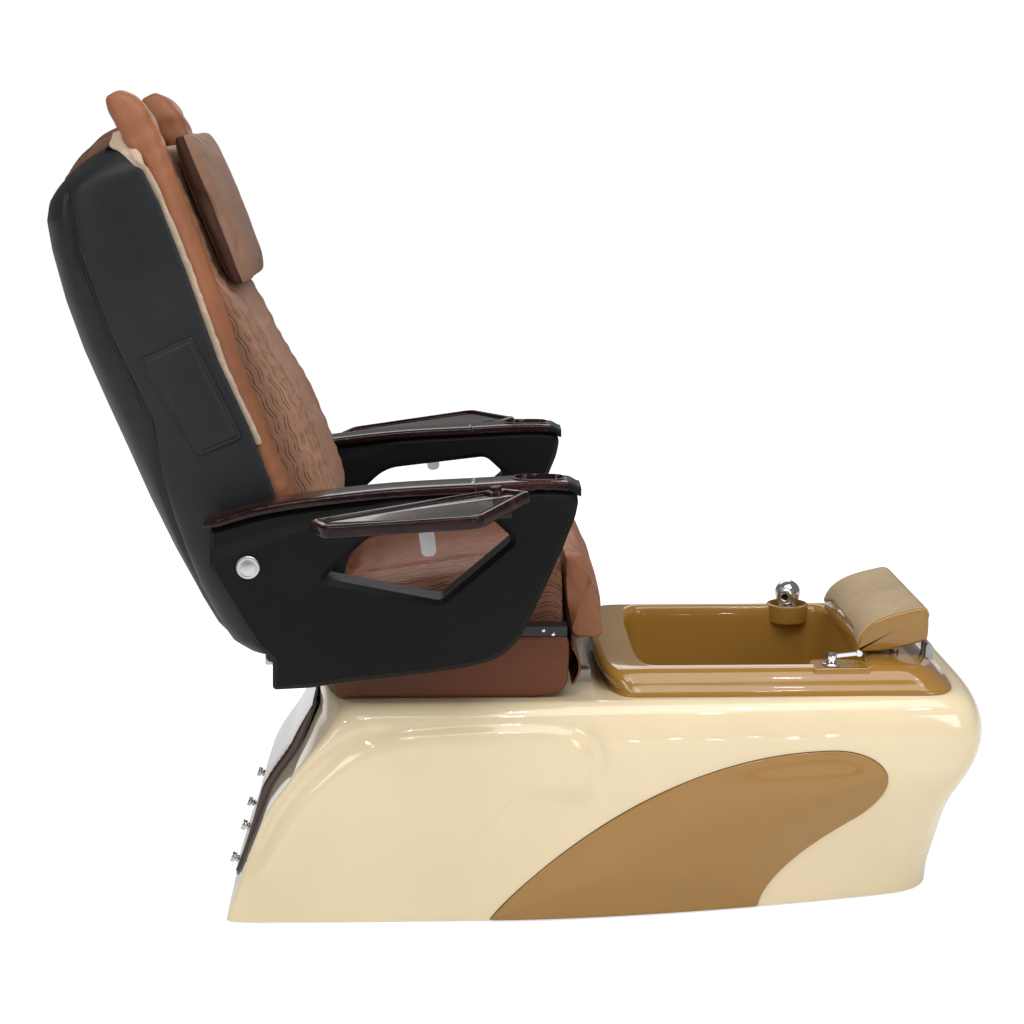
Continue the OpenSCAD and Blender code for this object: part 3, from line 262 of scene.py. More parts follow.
def quiltedLeather(name, colour, roughness, pitch):
    # wavy pairs of stitched strokes that run along the piece
    f = Finish(name, colour, roughness, Specular_IOR_Level=0.3)
    run, length = f.attribute("run"), f.attribute("length")
    sway = f.noise(4.0, 2) * 0.014 + f.noise(22.0, 2) * 0.004 + (length * 150.0).calc("SINE") * 0.0022
    place = ((run + sway) * (1 / pitch)).calc("FRACT")
    away = (place - 0.5).calc("ABSOLUTE") * pitch
    pair = (away - pitch * 0.17).calc("ABSOLUTE")
    broken = f.noise(1.0, 2, 0.5, where=f.stretched((55.0, 70.0, 55.0)))
    line = (1 - pair.between(0.0, 0.0016)) * broken.between(0.36, 0.56)
    patch = f.noise(5.0, 4, 0.6)
    fold = f.noise(30.0, 4, 0.6, twist=0.6)
    tone = f.blendColours(patch.between(0.3, 0.72), shade(colour, 0.86), shade(colour, 1.12))
    tone = f.blendColours(fold.between(0.35, 0.7) * 0.4, tone, shade(colour, 1.2))
    f.colour(f.blendColours(line * 0.55, tone, shade(colour, 0.36)))
    f.vary("Roughness", roughness - 0.05 + 0.12 * patch)
    f.height(fold * 0.8 - line * 1.1 + f.cells(pores) * 0.2, 0.0013)
    return f.material


def fleece(name, colour):
    f = Finish(name, colour, 0.95, Sheen_Weight=0.4, Sheen_Roughness=0.5)
    tuft = f.noise(520.0, 3, 0.6)
    clump = f.noise(34.0, 4, 0.6, twist=0.7)
    tone = f.blendColours(tuft.between(0.25, 0.75), shade(colour, 0.93), shade(colour, 1.05))
    f.colour(f.blendColours(clump.between(0.35, 0.7), shade(colour, 0.8), tone))
    f.height(tuft * 0.4 + clump * 2.6, 0.0016)
    return f.material


def lacqueredWood(name, colour):
    f = Finish(name, colour, 0.3, Coat_Weight=0.55, Coat_Roughness=0.07, Coat_IOR=1.4,
               Specular_IOR_Level=0.1)
    grain = f.noise(1.0, 5, 0.65, where=f.stretched((6.0, 120.0, 90.0)), twist=0.6)
    figure = f.noise(1.0, 3, 0.5, where=f.stretched((2.5, 26.0, 20.0)), twist=1.2)
    tone = f.blendColours(grain.between(0.35, 0.7), shade(colour, 0.55), shade(colour, 1.7))
    tone = f.blendColours(figure.between(0.5, 0.8) * 0.6, tone, (0.07, 0.022, 0.016))
    f.colour(tone)
    f.vary("Roughness", 0.16 + 0.08 * grain)
    f.height(f.noise(30.0, 1), 0.0002)
    return f.material


def mouldedPlastic(name, colour, roughness=0.5, texture=1.0, **constants):
    f = Finish(name, colour, roughness, **constants)
    grit = f.noise(900.0, 2, 0.6)
    cloud = f.noise(8.0, 3)
    f.colour(f.blendColours(cloud.between(0.3, 0.7), shade(colour, 0.9), shade(colour, 1.12)))
    f.vary("Roughness", roughness - 0.05 + 0.12 * f.noise(30.0, 3))
    f.height(grit, 0.00025 * texture)
    return f.material


def metal(name, colour, roughness, brushed=(1, 1, 1), amount=0.06):
    f = Finish(name, colour, roughness, Metallic=1.0)
    streak = f.noise(1.0, 3, 0.6, where=f.stretched(tuple(300.0 * b for b in brushed)))
    f.vary("Roughness", roughness + amount * streak)
    f.colour(f.blendColours(f.noise(12.0, 2).between(0.3, 0.7), shade(colour, 0.94), shade(colour, 1.05)))
    f.height(streak, 0.00003)
    return f.material


def paint(name, colour, roughness=0.4):
    f = Finish(name, colour, roughness, IOR=1.45)
    f.colour(f.blendColours(f.noise(20.0, 2).between(0.3, 0.7), shade(colour, 0.92), shade(colour, 1.1)))
    f.vary("Roughness", roughness + 0.08 * f.noise(40.0, 2))
    f.height(f.noise(500.0, 2), 0.0001)
    return f.material


def clearPlastic(name, colour):
    f = Finish(name, colour, 0.12, Transmission_Weight=0.55, IOR=1.46)
    f.vary("Roughness", 0.08 + 0.12 * f.noise(60.0, 2))
    f.colour(f.blendColours(f.noise(30.0, 2), shade(colour, 0.9), shade(colour, 1.08)))
    return f.material


def plywood(name, colour):
    f = Finish(name, colour, 0.7)
    ply = f.noise(1.0, 4, 0.6, where=f.stretched((8.0, 60.0, 400.0)))
    f.colour(f.blendColours(ply.between(0.3, 0.7), shade(colour, 0.7), shade(colour, 1.2)))
    f.height(ply, 0.0002)
    return f.material


colours = {  # linear
    "cream_gelcoat": (0.80, 0.66, 0.43),
    "tan_gelcoat": (0.335, 0.172, 0.032),
    "brown_leather": (0.24, 0.098, 0.046),
    "black_leather": (0.0150, 0.0158, 0.0178),
    "cream_lining": (0.52, 0.385, 0.275),
    "black_plastic": (0.012, 0.012, 0.0125),
    "mahogany": (0.014, 0.0045, 0.0038),
    "door_brown": (0.052, 0.018, 0.0078),
    "chrome": (0.82, 0.82, 0.83),
    "frame_paint": (0.022, 0.022, 0.024),
    "steel": (0.55, 0.55, 0.56),
    "zinc_bracket": (0.42, 0.42, 0.43),
    "rubber": (0.02, 0.02, 0.02),
    "clear_plastic": (0.75, 0.77, 0.78),
    "white_plastic": (0.8, 0.8, 0.78),
    "plywood": (0.45, 0.3, 0.16),
}
finishes = {
    "cream_gelcoat": gelcoat("creamGelcoat", colours["cream_gelcoat"]),
    "tan_gelcoat": gelcoat("tanGelcoat", colours["tan_gelcoat"]),
    "brown_leather": leather("brownLeather", colours["brown_leather"]),
    "black_leather": leather("blackLeather", colours["black_leather"], 0.38, 0.5),
    "cream_lining": fleece("creamLining", colours["cream_lining"]),
    "black_plastic": mouldedPlastic("blackPlastic", colours["black_plastic"], 0.42),
    "mahogany": lacqueredWood("mahogany", colours["mahogany"]),
    "door_brown": gelcoat("doorBrown", colours["door_brown"]),
    "chrome": metal("chrome", colours["chrome"], 0.06),
    "frame_paint": paint("framePaint", colours["frame_paint"]),
    "steel": metal("steel", colours["steel"], 0.3, (0.05, 1, 1)),
    "zinc_bracket": metal("zincBracket", colours["zinc_bracket"], 0.36, (0.1, 1, 1)),
    "rubber": mouldedPlastic("rubber", colours["rubber"], 0.75, 2.0),
    "clear_plastic": clearPlastic("clearPlastic", colours["clear_plastic"]),
    "white_plastic": mouldedPlastic("whitePlastic", colours["white_plastic"], 0.3, 0.4),
    "plywood": plywood("plywood", colours["plywood"]),
}
seamShadow = mouldedPlastic("seamShadow", (0.05, 0.028, 0.012), 0.7)


# meshes, lengths in millimetres

def meshObject(name, verts, faces):
    mesh = bpy.data.meshes.new(name)
    mesh.from_pydata((np.array(verts, float) * mm).tolist(), [], [tuple(int(i) for i in f) for f in faces])
    obj = bpy.data.objects.new(name, mesh)
    bpy.context.collection.objects.link(obj)
    return obj


def piece(name, verts, faces, slotName, body, replaced=(), soft=32, finish=None, ride=True):
    obj = meshObject(name, verts, faces)
    obj.data.validate()
    return dress(obj, slotName, body, replaced, soft, finish, ride)


def dress(obj, slotName, body, replaced=(), soft=32, finish=None, ride=True):
    # one finish, smooth faces, edges sharper than soft degrees kept crisp
    obj.data.materials.clear()
    obj.data.materials.append(finish or finishes[slotName])
    smooth(obj.data, soft)
    if replaced:
        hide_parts(*replaced)
    if ride:
        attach(obj, body)
    return obj


def smooth(mesh, soft):
    b = bmesh.new()
    b.from_mesh(mesh)
    for face in b.faces:
        face.smooth = True
    limit = math.radians(soft)
    for edge in b.edges:
        edge.smooth = len(edge.link_faces) == 2 and edge.calc_face_angle(0) < limit
    b.to_mesh(mesh)
    b.free()


def outward(obj):
    b = bmesh.new()
    b.from_mesh(obj.data)
    bmesh.ops.remove_doubles(b, verts=b.verts, dist=1e-6)
    bmesh.ops.recalc_face_normals(b, faces=b.faces)
    b.to_mesh(obj.data)
    b.free()
    return obj


cloth = {"frames": 14, "quality": 4, "mass": 0.25, "stretch": 20, "bend": 1.5, "slack": 0.02}


def swollen(obj, pressure, cap):
    # blown up from within as cloth; a point moves by the cap at most, and the piece keeps its size
    before = np.array([v.co for v in obj.data.vertices])
    normals = np.array([v.normal for v in obj.data.vertices])
    modifier = obj.modifiers.new("cloth", "CLOTH")
    settings, cache = modifier.settings, modifier.point_cache
    settings.quality = cloth["quality"]
    settings.mass = cloth["mass"]
    settings.tension_stiffness = settings.compression_stiffness = cloth["stretch"]
    settings.bending_stiffness = cloth["bend"]
    settings.use_pressure = True
    settings.uniform_pressure_force = pressure
    settings.shrink_min = -cloth["slack"]
    settings.effector_weights.gravity = 0
    cache.frame_end = cache.frame_start + cloth["frames"]
    for step in range(cloth["frames"]):
        bpy.context.scene.frame_set(cache.frame_start + step)
    blown = obj.evaluated_get(bpy.context.evaluated_depsgraph_get())
    after = np.array([v.co for v in blown.data.vertices])
    obj.modifiers.remove(modifier)
    bpy.context.scene.frame_set(1)
    move = np.nan_to_num(after - before)
    move *= np.minimum(1, cap * mm / (np.linalg.norm(move, axis=1) + 1e-9))[:, None]
    move -= normals * np.mean(np.sum(move * normals, axis=1))
    obj.data.vertices.foreach_set("co", (before + move).ravel())
    obj.data.update()
    print(f"{obj.name} swollen as cloth")


def skin(rings, joined=False, caps=True):
    # quads over a row of rings, each with the same number of points
    rings = [np.array(r, float) for r in rings]
    n, rows = len(rings[0]), len(rings)
    verts = np.vstack(rings)
    faces = []
    for i in range(rows if joined else rows - 1):
        for j in range(n):
            k, down = (j + 1) % n, (i + 1) % rows * n
            faces.append((i * n + j, i * n + k, down + k, down + j))
    if caps and not joined:
        for ring, flip in ((0, True), (rows - 1, False)):
            middle = len(verts)
            verts = np.vstack([verts, verts[ring * n:ring * n + n].mean(0)[None]])
            for j in range(n):
                a, b = ring * n + j, ring * n + (j + 1) % n
                faces.append((middle, b, a) if flip else (middle, a, b))
    return verts, faces


def baked(obj):
    # the object's modifiers worked into its mesh
    bpy.context.view_layer.update()
    mesh = bpy.data.meshes.new_from_object(obj.evaluated_get(bpy.context.evaluated_depsgraph_get()))
    obj.modifiers.clear()
    if obj.type == "MESH":
        obj.data = mesh
        return obj
    name = obj.name
    made = bpy.data.objects.new(name + "Mesh", mesh)
    bpy.context.collection.objects.link(made)
    made.matrix_world = obj.matrix_world
    bpy.data.objects.remove(obj)
    made.name = name
    return made


def flatCurve(name, outlines, unit):
    # closed lines as one filled shape
    curve = bpy.data.curves.new(name, "CURVE")
    curve.dimensions = "2D"
    curve.fill_mode = "BOTH"
    for outline in outlines:
        spline = curve.splines.new("POLY")
        spline.points.add(len(outline) - 1)
        for point, (x, y) in zip(spline.points, outline):
            point.co = (x * unit, y * unit, 0, 1)
        spline.use_cyclic_u = True
    obj = bpy.data.objects.new(name, curve)
    bpy.context.collection.objects.link(obj)
    return obj


def plate(name, outlines, thick, edge, slotName, body, lay, soft=40, steps=3):
    # flat plate with rounded edges; outlines are closed lines, the later ones holes; lay places it
    obj = flatCurve(name, outlines, mm)
    obj.data.extrude = (thick / 2 - edge) * mm
    obj.data.bevel_depth = edge * mm
    obj.data.offset = -edge * mm
    obj.data.bevel_resolution = steps
    obj = baked(obj)
    place = lay.copy()
    place.translation *= mm
    obj.data.transform(place)
    return dress(outward(obj), slotName, body, soft=soft)


def sidePlane(y):
    # lays a plate drawn in (x, z) upright at a distance y
    return Matrix.Translation((0, y, 0)) @ Matrix.Rotation(math.radians(90), 4, "X")


def joinPieces(name, pieces):
    b = bmesh.new()
    for p in pieces:
        b.from_mesh(p.data)
    mesh = bpy.data.meshes.new(name)
    b.to_mesh(mesh)
    b.free()
    for p in pieces:
        bpy.data.objects.remove(p)
    obj = bpy.data.objects.new(name, mesh)
    bpy.context.collection.objects.link(obj)
    return obj


def combine(target, tool, operation):
    step = target.modifiers.new("combine", "BOOLEAN")
    step.operation = operation
    step.solver = "EXACT"
    step.object = tool
    baked(target)
    bpy.data.objects.remove(tool)


def drill(obj, start, end, radius):
    a, b = Vector(start) * mm, Vector(end) * mm
    bpy.ops.mesh.primitive_cylinder_add(vertices=48, radius=radius * mm, depth=(b - a).length)
    tool = bpy.context.object
    tool.location = (a + b) / 2
    tool.rotation_euler = (b - a).to_track_quat("Z", "Y").to_euler()
    combine(obj, tool, "DIFFERENCE")


# camera, floor and lamps

view = {"place": (-0.100, -3.624, 1.310), "yaw": -1.59, "pitch": 10.68, "lens": 73.8, "sensor": 36}


def makeCamera():
    data = bpy.data.cameras.new("camera")
    data.lens = view["lens"]
    data.sensor_width = view["sensor"]
    cam = bpy.data.objects.new("camera", data)
    cam.location = view["place"]
    cam.rotation_euler = Euler((math.radians(90 - view["pitch"]), 0, math.radians(view["yaw"])))
    bpy.context.collection.objects.link(cam)
    bpy.context.scene.camera = cam


stage = {"floor": 12.0, "lift": 0.62, "mirrored": 0.15}


def makeFloor():
    mesh = bpy.data.meshes.new("floor")
    s = stage["floor"]
    mesh.from_pydata([(-s, -s, 0), (s, -s, 0), (s, s, 0), (-s, s, 0)], [], [(0, 1, 2, 3)])
    floor = bpy.data.objects.new("floor", mesh)
    bpy.context.collection.objects.link(floor)
    f = Finish("floorWhite", (0.86, 0.86, 0.86), 0.9)
    f.colour(f.blendColours(f.noise(2.0, 2), (0.85, 0.85, 0.85), (0.87, 0.87, 0.87)))
    rays = f.node("ShaderNodeLightPath")
    seen = Value(f, rays.socket.node.outputs["Is Camera Ray"])
    mirrored = Value(f, rays.socket.node.outputs["Is Glossy Ray"])
    through = Value(f, rays.socket.node.outputs["Is Transmission Ray"])
    strength = (seen + through + mirrored * stage["mirrored"]).limit() * stage["lift"]
    glow = f.node("ShaderNodeEmission", {}, {"Color": (1, 1, 1, 1), "Strength": strength})
    both = f.node("ShaderNodeAddShader", {}, {0: Value(f, f.shader.outputs[0]), 1: glow})
    f.tree.links.new(both.socket, f.tree.nodes["Material Output"].inputs["Surface"])
    mesh.materials.append(f.material)


sky = {"around": 0.5, "seen": 1.0, "mirrored": 0.16}


def makeWorld():
    world = bpy.data.worlds.new("studio")
    bpy.context.scene.world = world
    world.use_nodes = True
    tree = world.node_tree
    back = tree.nodes["Background"]
    rays = tree.nodes.new("ShaderNodeLightPath")
    strength = tree.nodes.new("ShaderNodeMapRange")
    total = tree.nodes.new("ShaderNodeMath")
    total.operation = "ADD"
    total.use_clamp = True
    tree.links.new(rays.outputs["Is Camera Ray"], total.inputs[0])
    tree.links.new(rays.outputs["Is Transmission Ray"], total.inputs[1])
    tree.links.new(total.outputs[0], strength.inputs["Value"])
    strength.inputs["To Min"].default_value = sky["around"]
    strength.inputs["To Max"].default_value = sky["seen"]
    mirrored = tree.nodes.new("ShaderNodeMath")
    mirrored.operation = "MULTIPLY_ADD"
    tree.links.new(rays.outputs["Is Glossy Ray"], mirrored.inputs[0])
    mirrored.inputs[1].default_value = sky["mirrored"] - sky["around"]
    tree.links.new(strength.outputs["Result"], mirrored.inputs[2])
    tree.links.new(mirrored.outputs[0], back.inputs["Strength"])
    back.inputs["Color"].default_value = (1, 1, 1, 1)


lamps = [  # place, aim, size, power in watts
    ((0.4, -1.2, 3.6), (0.1, 0.0, 0.5), (3.2, 2.2), 62),
    ((-2.8, -3.2, 2.4), (-0.2, 0.0, 0.7), (1.6, 1.6), 30),
    ((2.6, -3.4, 2.0), (0.3, 0.0, 0.4), (1.2, 1.6), 26),
    ((0.2, 3.4, 2.6), (0.0, 0.0, 0.8), (3.0, 1.6), 27),
]
downlights = {"height": 3.0, "xs": (-1.5, -0.7, 0.1, 0.9, 1.7), "ys": (-2.2, -1.3), "size": 0.09,
              "power": 1.6}
glints = {"y": -6.0, "z": 0.62, "rise": 0.22, "xs": (1.0, 1.22, 1.44, 1.66, 1.88, 2.1), "size": 0.06,
          "power": 0.6, "aim": (0.5, -0.3, 0.3)}
strip = ((1.5, -6.0, 0.35), (2.6, 0.45), 3.5)  # place, size, power


def areaLamp(name, place, aim, size, power):
    data = bpy.data.lights.new(name, "AREA")
    data.shape = "RECTANGLE"
    data.size, data.size_y = size
    data.energy = power
    lamp = bpy.data.objects.new(name, data)
    lamp.location = place
    lamp.rotation_euler = (Vector(aim) - Vector(place)).to_track_quat("-Z", "Y").to_euler()
    bpy.context.collection.objects.link(lamp)
    return lamp


def makeLamps():
    for i, (place, aim, size, power) in enumerate(lamps):
        areaLamp(f"softbox{i}", place, aim, size, power)
    for x in downlights["xs"]:
        for y in downlights["ys"]:
            areaLamp("downlight", (x, y, downlights["height"]), (x, y, 0), (downlights["size"],) * 2,
                     downlights["power"])
    # lamps behind the viewer, seen only in the gloss of the shells
    places = [((x, glints["y"], glints["z"] + glints["rise"] * (i % 2)), (glints["size"],) * 2,
               glints["power"]) for i, x in enumerate(glints["xs"])]
    for place, size, power in places + [strip]:
        areaLamp("glint", place, glints["aim"], size, power).visible_diffuse = False


makeCamera()
makeFloor()
makeWorld()
makeLamps()
bpy.context.scene.view_settings.view_transform = "Standard"
print("camera, floor and lamps made")


# base shell

deckHeight = 364
base = {"halfWidth": 335, "footFront": 727, "footRear": -487, "bulge": 73, "hollow": 24,
        "hollowAt": 178, "shoulderStart": 281, "shoulderInset": 45, "rearLean": 150, "rearRound": 80,
        "frontRound": (125, 95), "wall": 5, "gap": 3, "side": 236, "arc": 9, "tail": 56, "creaseRound": 11,
        "crease": [(0, -482), (25, -476), (79, -459), (147, -436), (186, -416), (234, -383), (277, -345),
                   (315, -312), (364, -276)]}


def shoulder(z):
    u = np.clip((z - base["shoulderStart"]) / (deckHeight - base["shoulderStart"]), 0, 1)
    return base["shoulderInset"] * (1 - np.sqrt(1 - u * u))


def frontX(z):
    hollow = base["hollow"] * bump(z, base["hollowAt"], 75)
    return base["footFront"] + base["bulge"] * ease(z / base["shoulderStart"]) - hollow - shoulder(z)


def rearX(z):
    lean = min(1, 0.95 * z / deckHeight + 0.15 * ease((z - 170) / 95))
    return base["footRear"] + base["rearLean"] * lean


def flank(x, z):
    taper = mix(117, 25, ease(z / 250)) * np.power(np.maximum(0, x) / 700, 1.6)
    return base["halfWidth"] - shoulder(z) - taper + 7 * bump(x, -110, 210) * bump(z, 150, 130)


def planHalf(rear, front, rearRound, frontRound, width, z):
    a = np.radians(90 * np.linspace(0, 1, 41) ** 1.6)
    x = front - frontRound * (1 - np.cos(a) ** 0.5)
    nose = np.stack([x, width(x, z) * np.sin(a) ** 0.5], axis=1)
    x = np.linspace(front - frontRound, rear + rearRound, 40)[1:-1]
    side = np.stack([x, width(x, z)], axis=1)
    a = np.radians(90 * (1 - np.linspace(1, 0, 41) ** 1.6))
    x = rear + rearRound * (1 - np.sin(a) ** 0.55)
    tail = np.stack([x, width(x, z) * np.cos(a) ** 0.55], axis=1)
    return np.vstack([nose, side, tail])


def planRing(rear, front, rearRound, frontRound, width, z, around):
    # every ring has the same share of its points on its nose, its side and its tail
    half = spread(planHalf(rear, front, rearRound, frontRound, width, z), around // 2 + 1)
    ring = np.vstack([half, half[-2:0:-1] * (1, -1)])
    return np.column_stack([ring, np.full(len(ring), z)])


def baseRing(z, inset=0.0):
    # the crease keeps its place in every ring
    rear, front = rearX(z) + inset, frontX(z) - inset
    corner = max(along(base["crease"], z) + inset, rear + 1.5)
    frontRound = mix(*base["frontRound"], ease(z / base["shoulderStart"]))
    half = planHalf(rear, front, base["rearRound"], frontRound, lambda x, h: flank(x, h) - inset, z)
    soft = corner + 70
    wide = float(flank(soft, z)) - inset
    tip = np.array([corner, wide - 7.0])
    side = np.vstack([half[half[:, 0] > soft + 5], [(soft, wide)]])
    s = np.linspace(0, 1, 60)[:, None]
    toTip = (1 - s) ** 2 * side[-1] + 2 * s * (1 - s) * np.array([corner + 30, wide]) + s * s * tip
    s = np.linspace(0, 1, 80)
    back = np.stack([rear + (corner - rear) * (1 - s) ** 2.6, tip[1] * (1 - s)], 1)
    r = base["creaseRound"]
    before, after = toTip[np.hypot(*(toTip - tip).T) > r], back[np.hypot(*(back - tip).T) > r]
    t = np.linspace(0, 1, base["arc"])[:, None]
    arc = (1 - t) ** 2 * before[-1] + 2 * t * (1 - t) * tip + t * t * after[0]
    ahead = spread(np.vstack([side[:-1], before]), base["side"])[:-1]
    half = np.vstack([ahead, arc, spread(after, base["tail"])[1:]])
    ring = np.vstack([half, half[-2:0:-1] * (1, -1)])
    return np.column_stack([ring, np.full(len(ring), z)])


def tubRing(rear, front, half, z, corner=62, around=200):
    return planRing(rear, front, corner * 0.8, corner, lambda x, h: half + 0 * x, z, around)


relief = {  # the raised arch on each flank: its line in (x, z), how deep its groove is and how wide
    "line": [(-470, 20), (-452, 70), (-419, 140), (-372, 217), (-322, 268), (-268, 309), (-185, 338),
             (-110, 350), (-40, 356), (25, 356), (80, 345), (117, 318), (132, 280), (137, 235), (137, 190)],
    "groove": 8.5, "grooveHalf": 12, "pod": 8.0, "podReach": 90,
}


def reliefDepth(x, z):
    line = throughPoints(relief["line"], 160)
    d = np.hypot(x[:, None] - line[None, :, 0], z[:, None] - line[None, :, 1])
    near = d.argmin(1)
    ahead = np.gradient(line, axis=0)[near]
    offset = np.stack([x, z], 1) - line[near]
    inside = np.sign(ahead[:, 0] * offset[:, 1] - ahead[:, 1] * offset[:, 0]) < 0
    away = d.min(1) * np.where(inside, 1, -1)  # positive inside the arch
    share = near / (len(line) - 1)
    strength = ease(share / 0.18) * ease((1 - share) / 0.12)
    groove = -relief["groove"] * np.exp(-(away / relief["grooveHalf"]) ** 2)
    pod = relief["pod"] * ease((away - 4) / 30) * np.exp(-np.clip(away - 34, 0, None) / relief["podReach"])
    return strength * groove + ease(share / 0.1) * ease((1 - share) / 0.06) * pod


def makeBase():
    levels = np.concatenate([np.linspace(base["gap"], base["shoulderStart"], 40),
                             base["shoulderStart"] + (deckHeight - base["shoulderStart"])
                             * np.sin(np.radians(np.linspace(4, 90, 22)))])
    outer = [baseRing(z) for z in levels]
    n = len(outer[0])
    for i, ring in enumerate(outer[:-1]):
        side = np.abs(ring[:, 1]) > 150
        change = reliefDepth(ring[side, 0], ring[side, 2]) * ease((340 - levels[i]) / 25)
        ring[side, 1] += np.sign(ring[side, 1]) * change
    ledge = tub["ledge"]
    hole = tubRing(tub["rear"] - ledge, tub["front"] + ledge, tub["half"] + ledge, deckHeight, around=n)
    deck = [mix(outer[-1], hole, t) for t in (0.12, 0.4, 0.75)]
    lowHole = hole - (0, 0, base["wall"])
    under = baseRing(deckHeight, 5)
    under[:, 2] = deckHeight - base["wall"]
    inner = [baseRing(z, base["wall"]) for z in np.linspace(330, base["gap"], 12)]
    verts, faces = skin(outer + deck + [hole, lowHole, under] + inner, joined=True)
    shell = piece("baseShell", verts, faces, "cream_gelcoat", "base", ["base_shell"], ride=False)
    outward(shell)
    cutHatch(shell)
    smooth(shell.data, 38)
    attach(shell, "base")


hatch = {"half": 140, "low": 75, "high": 300, "reach": (-700, -250)}


def cutHatch(shell):
    verts = [(x, y, z) for x in hatch["reach"] for y in (-hatch["half"], hatch["half"])
             for z in (hatch["low"], hatch["high"])]
    faces = [(0, 1, 3, 2), (4, 6, 7, 5), (0, 4, 5, 1), (2, 3, 7, 6), (0, 2, 6, 4), (1, 5, 7, 3)]
    combine(shell, meshObject("hatchBlock", verts, faces), "DIFFERENCE")


# side inlays

inlay = {"rear": -48, "front": 614, "peak": 520, "crown": 284, "nose": 230, "corner": 405, "notch": 560,
         "gap": 1.4, "stand": 2.6, "roll": 4.0, "swell": 10.0, "edge": 80}


def inlayTop(x):
    rise = np.clip((x - inlay["rear"]) / (inlay["peak"] - inlay["rear"]), 0, 1)
    low = inlay["crown"] * np.sin(np.radians(90 * rise ** 0.85))
    past = np.clip((x - inlay["peak"]) / (inlay["front"] - inlay["peak"]), 0, 1)
    return np.where(x < inlay["peak"], low, mix(inlay["nose"], inlay["crown"], np.sqrt(1 - past ** 2)))


def inlayBottom(x):
    u = np.clip((x - inlay["corner"]) / (inlay["front"] - inlay["corner"]), 0, 1)
    v = np.clip((x - inlay["notch"]) / (inlay["front"] - inlay["notch"]), 0, 1)
    return np.where(x < inlay["corner"], 0, 190 * u ** 0.62 + 38 * (1 - np.sqrt(1 - v * v)))


def inlayOutline(count):
    a = np.linspace(0, 1, 200)
    x = inlay["rear"] + (inlay["front"] - inlay["rear"]) * (0.004 + 0.9955 * (1 - (1 - a) ** 2))
    top = np.stack([x, np.maximum(inlayTop(x), base["gap"])], 1)
    low = np.stack([x, np.maximum(inlayBottom(x), base["gap"])], 1)[::-1]
    return spread(np.vstack([top, low]), count, closed=True)


def shrunk(line, d):
    # closed line in a plane, moved inwards by d along its normals
    ahead = np.roll(line, -1, 0) - np.roll(line, 1, 0)
    ahead /= np.linalg.norm(ahead, axis=1)[:, None] + 1e-9
    area = 0.5 * np.sum(line[:, 0] * np.roll(line[:, 1], -1) - np.roll(line[:, 0], -1) * line[:, 1])
    normal = np.stack([-ahead[:, 1], ahead[:, 0]], 1) * np.sign(area)
    return line + normal * d


def filled(outline, step):
    # triangles inside a closed line in (x, z), as fine as step
    obj = baked(flatCurve("fill", [outline], 1))
    b = bmesh.new()
    b.from_mesh(obj.data)
    bmesh.ops.remove_doubles(b, verts=b.verts, dist=1e-3)
    bounds = np.array([v.co[:2] for v in b.verts])
    for axis in (0, 1):
        for at in np.arange(bounds[:, axis].min() + step, bounds[:, axis].max(), step):
            where, normal = [0, 0, 0], [0, 0, 0]
            where[axis], normal[axis] = at, 1
            bmesh.ops.bisect_plane(b, geom=b.verts[:] + b.edges[:] + b.faces[:], plane_co=where,
                                   plane_no=normal)
    verts = np.array([v.co[:2] for v in b.verts])
    faces = [[v.index for v in f.verts] for f in b.faces]
    b.free()
    bpy.data.objects.remove(obj)
    return verts, faces


def makeInlay(side, word):
    outline = inlayOutline(320)

    def lay(flat, stand):
        return np.stack([flat[:, 0], side * (flank(flat[:, 0], flat[:, 1]) + stand), flat[:, 1]], 1)

    rows = [(0.0, 0.0), (0.0, 0.35), (0.12, 0.75), (0.45, 0.93), (1.0, 1.0)]
    rings = [shrunk(outline, 0.6 + inlay["roll"] * a) for a, _ in rows]
    verts, faces = skin([lay(ring, inlay["gap"] + inlay["stand"] * up) for ring, (_, up) in zip(rings, rows)],
                        caps=False)
    flat, inner = filled(rings[-1], 9)
    offset = len(verts)
    away = np.array([np.hypot(*(rings[-1] - p).T).min() for p in flat])
    swell = inlay["swell"] * ease(away / inlay["edge"]) ** 0.8
    verts = np.vstack([verts, lay(flat, inlay["gap"] + inlay["stand"] + swell)])
    faces = list(faces) + [[i + offset for i in f] for f in inner]
    obj = piece(f"sideInlay{word}", verts, faces, "tan_gelcoat", "base", ride=False)
    b = bmesh.new()
    b.from_mesh(obj.data)
    bmesh.ops.remove_doubles(b, verts=b.verts, dist=2e-5)
    bmesh.ops.recalc_face_normals(b, faces=b.faces)
    if sum(f.normal.y * f.calc_area() for f in b.faces) * side < 0:
        bmesh.ops.reverse_faces(b, faces=b.faces[:])
    b.to_mesh(obj.data)
    b.free()
    smooth(obj.data, 60)
    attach(obj, "base")
    # painted shadow: a dark strip laid in the joint round the inlay
    ribbon = [lay(shrunk(outline, d), inlay["gap"] * up) for d, up in ((-0.5, 0.1), (-0.3, 0.5), (0.8, 0.55))]
    verts, faces = skin(ribbon, caps=False)
    seam = piece(f"inlaySeam{word}", verts, faces, "rubber", "base", finish=seamShadow, ride=False)
    if side > 0:
        seam.data.flip_normals()
    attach(seam, "base")
    return obj


# tub

rimTop = 405
tub = {"rear": 207, "front": 607, "half": 213, "wall": 6, "ledge": 14, "depth": 292, "rimHalf": 273,
       "rimRear": 149, "rimFront": 747, "drain": (407, 0), "drainRadius": 21, "jetHeight": 221,
       "jetRadius": 30}


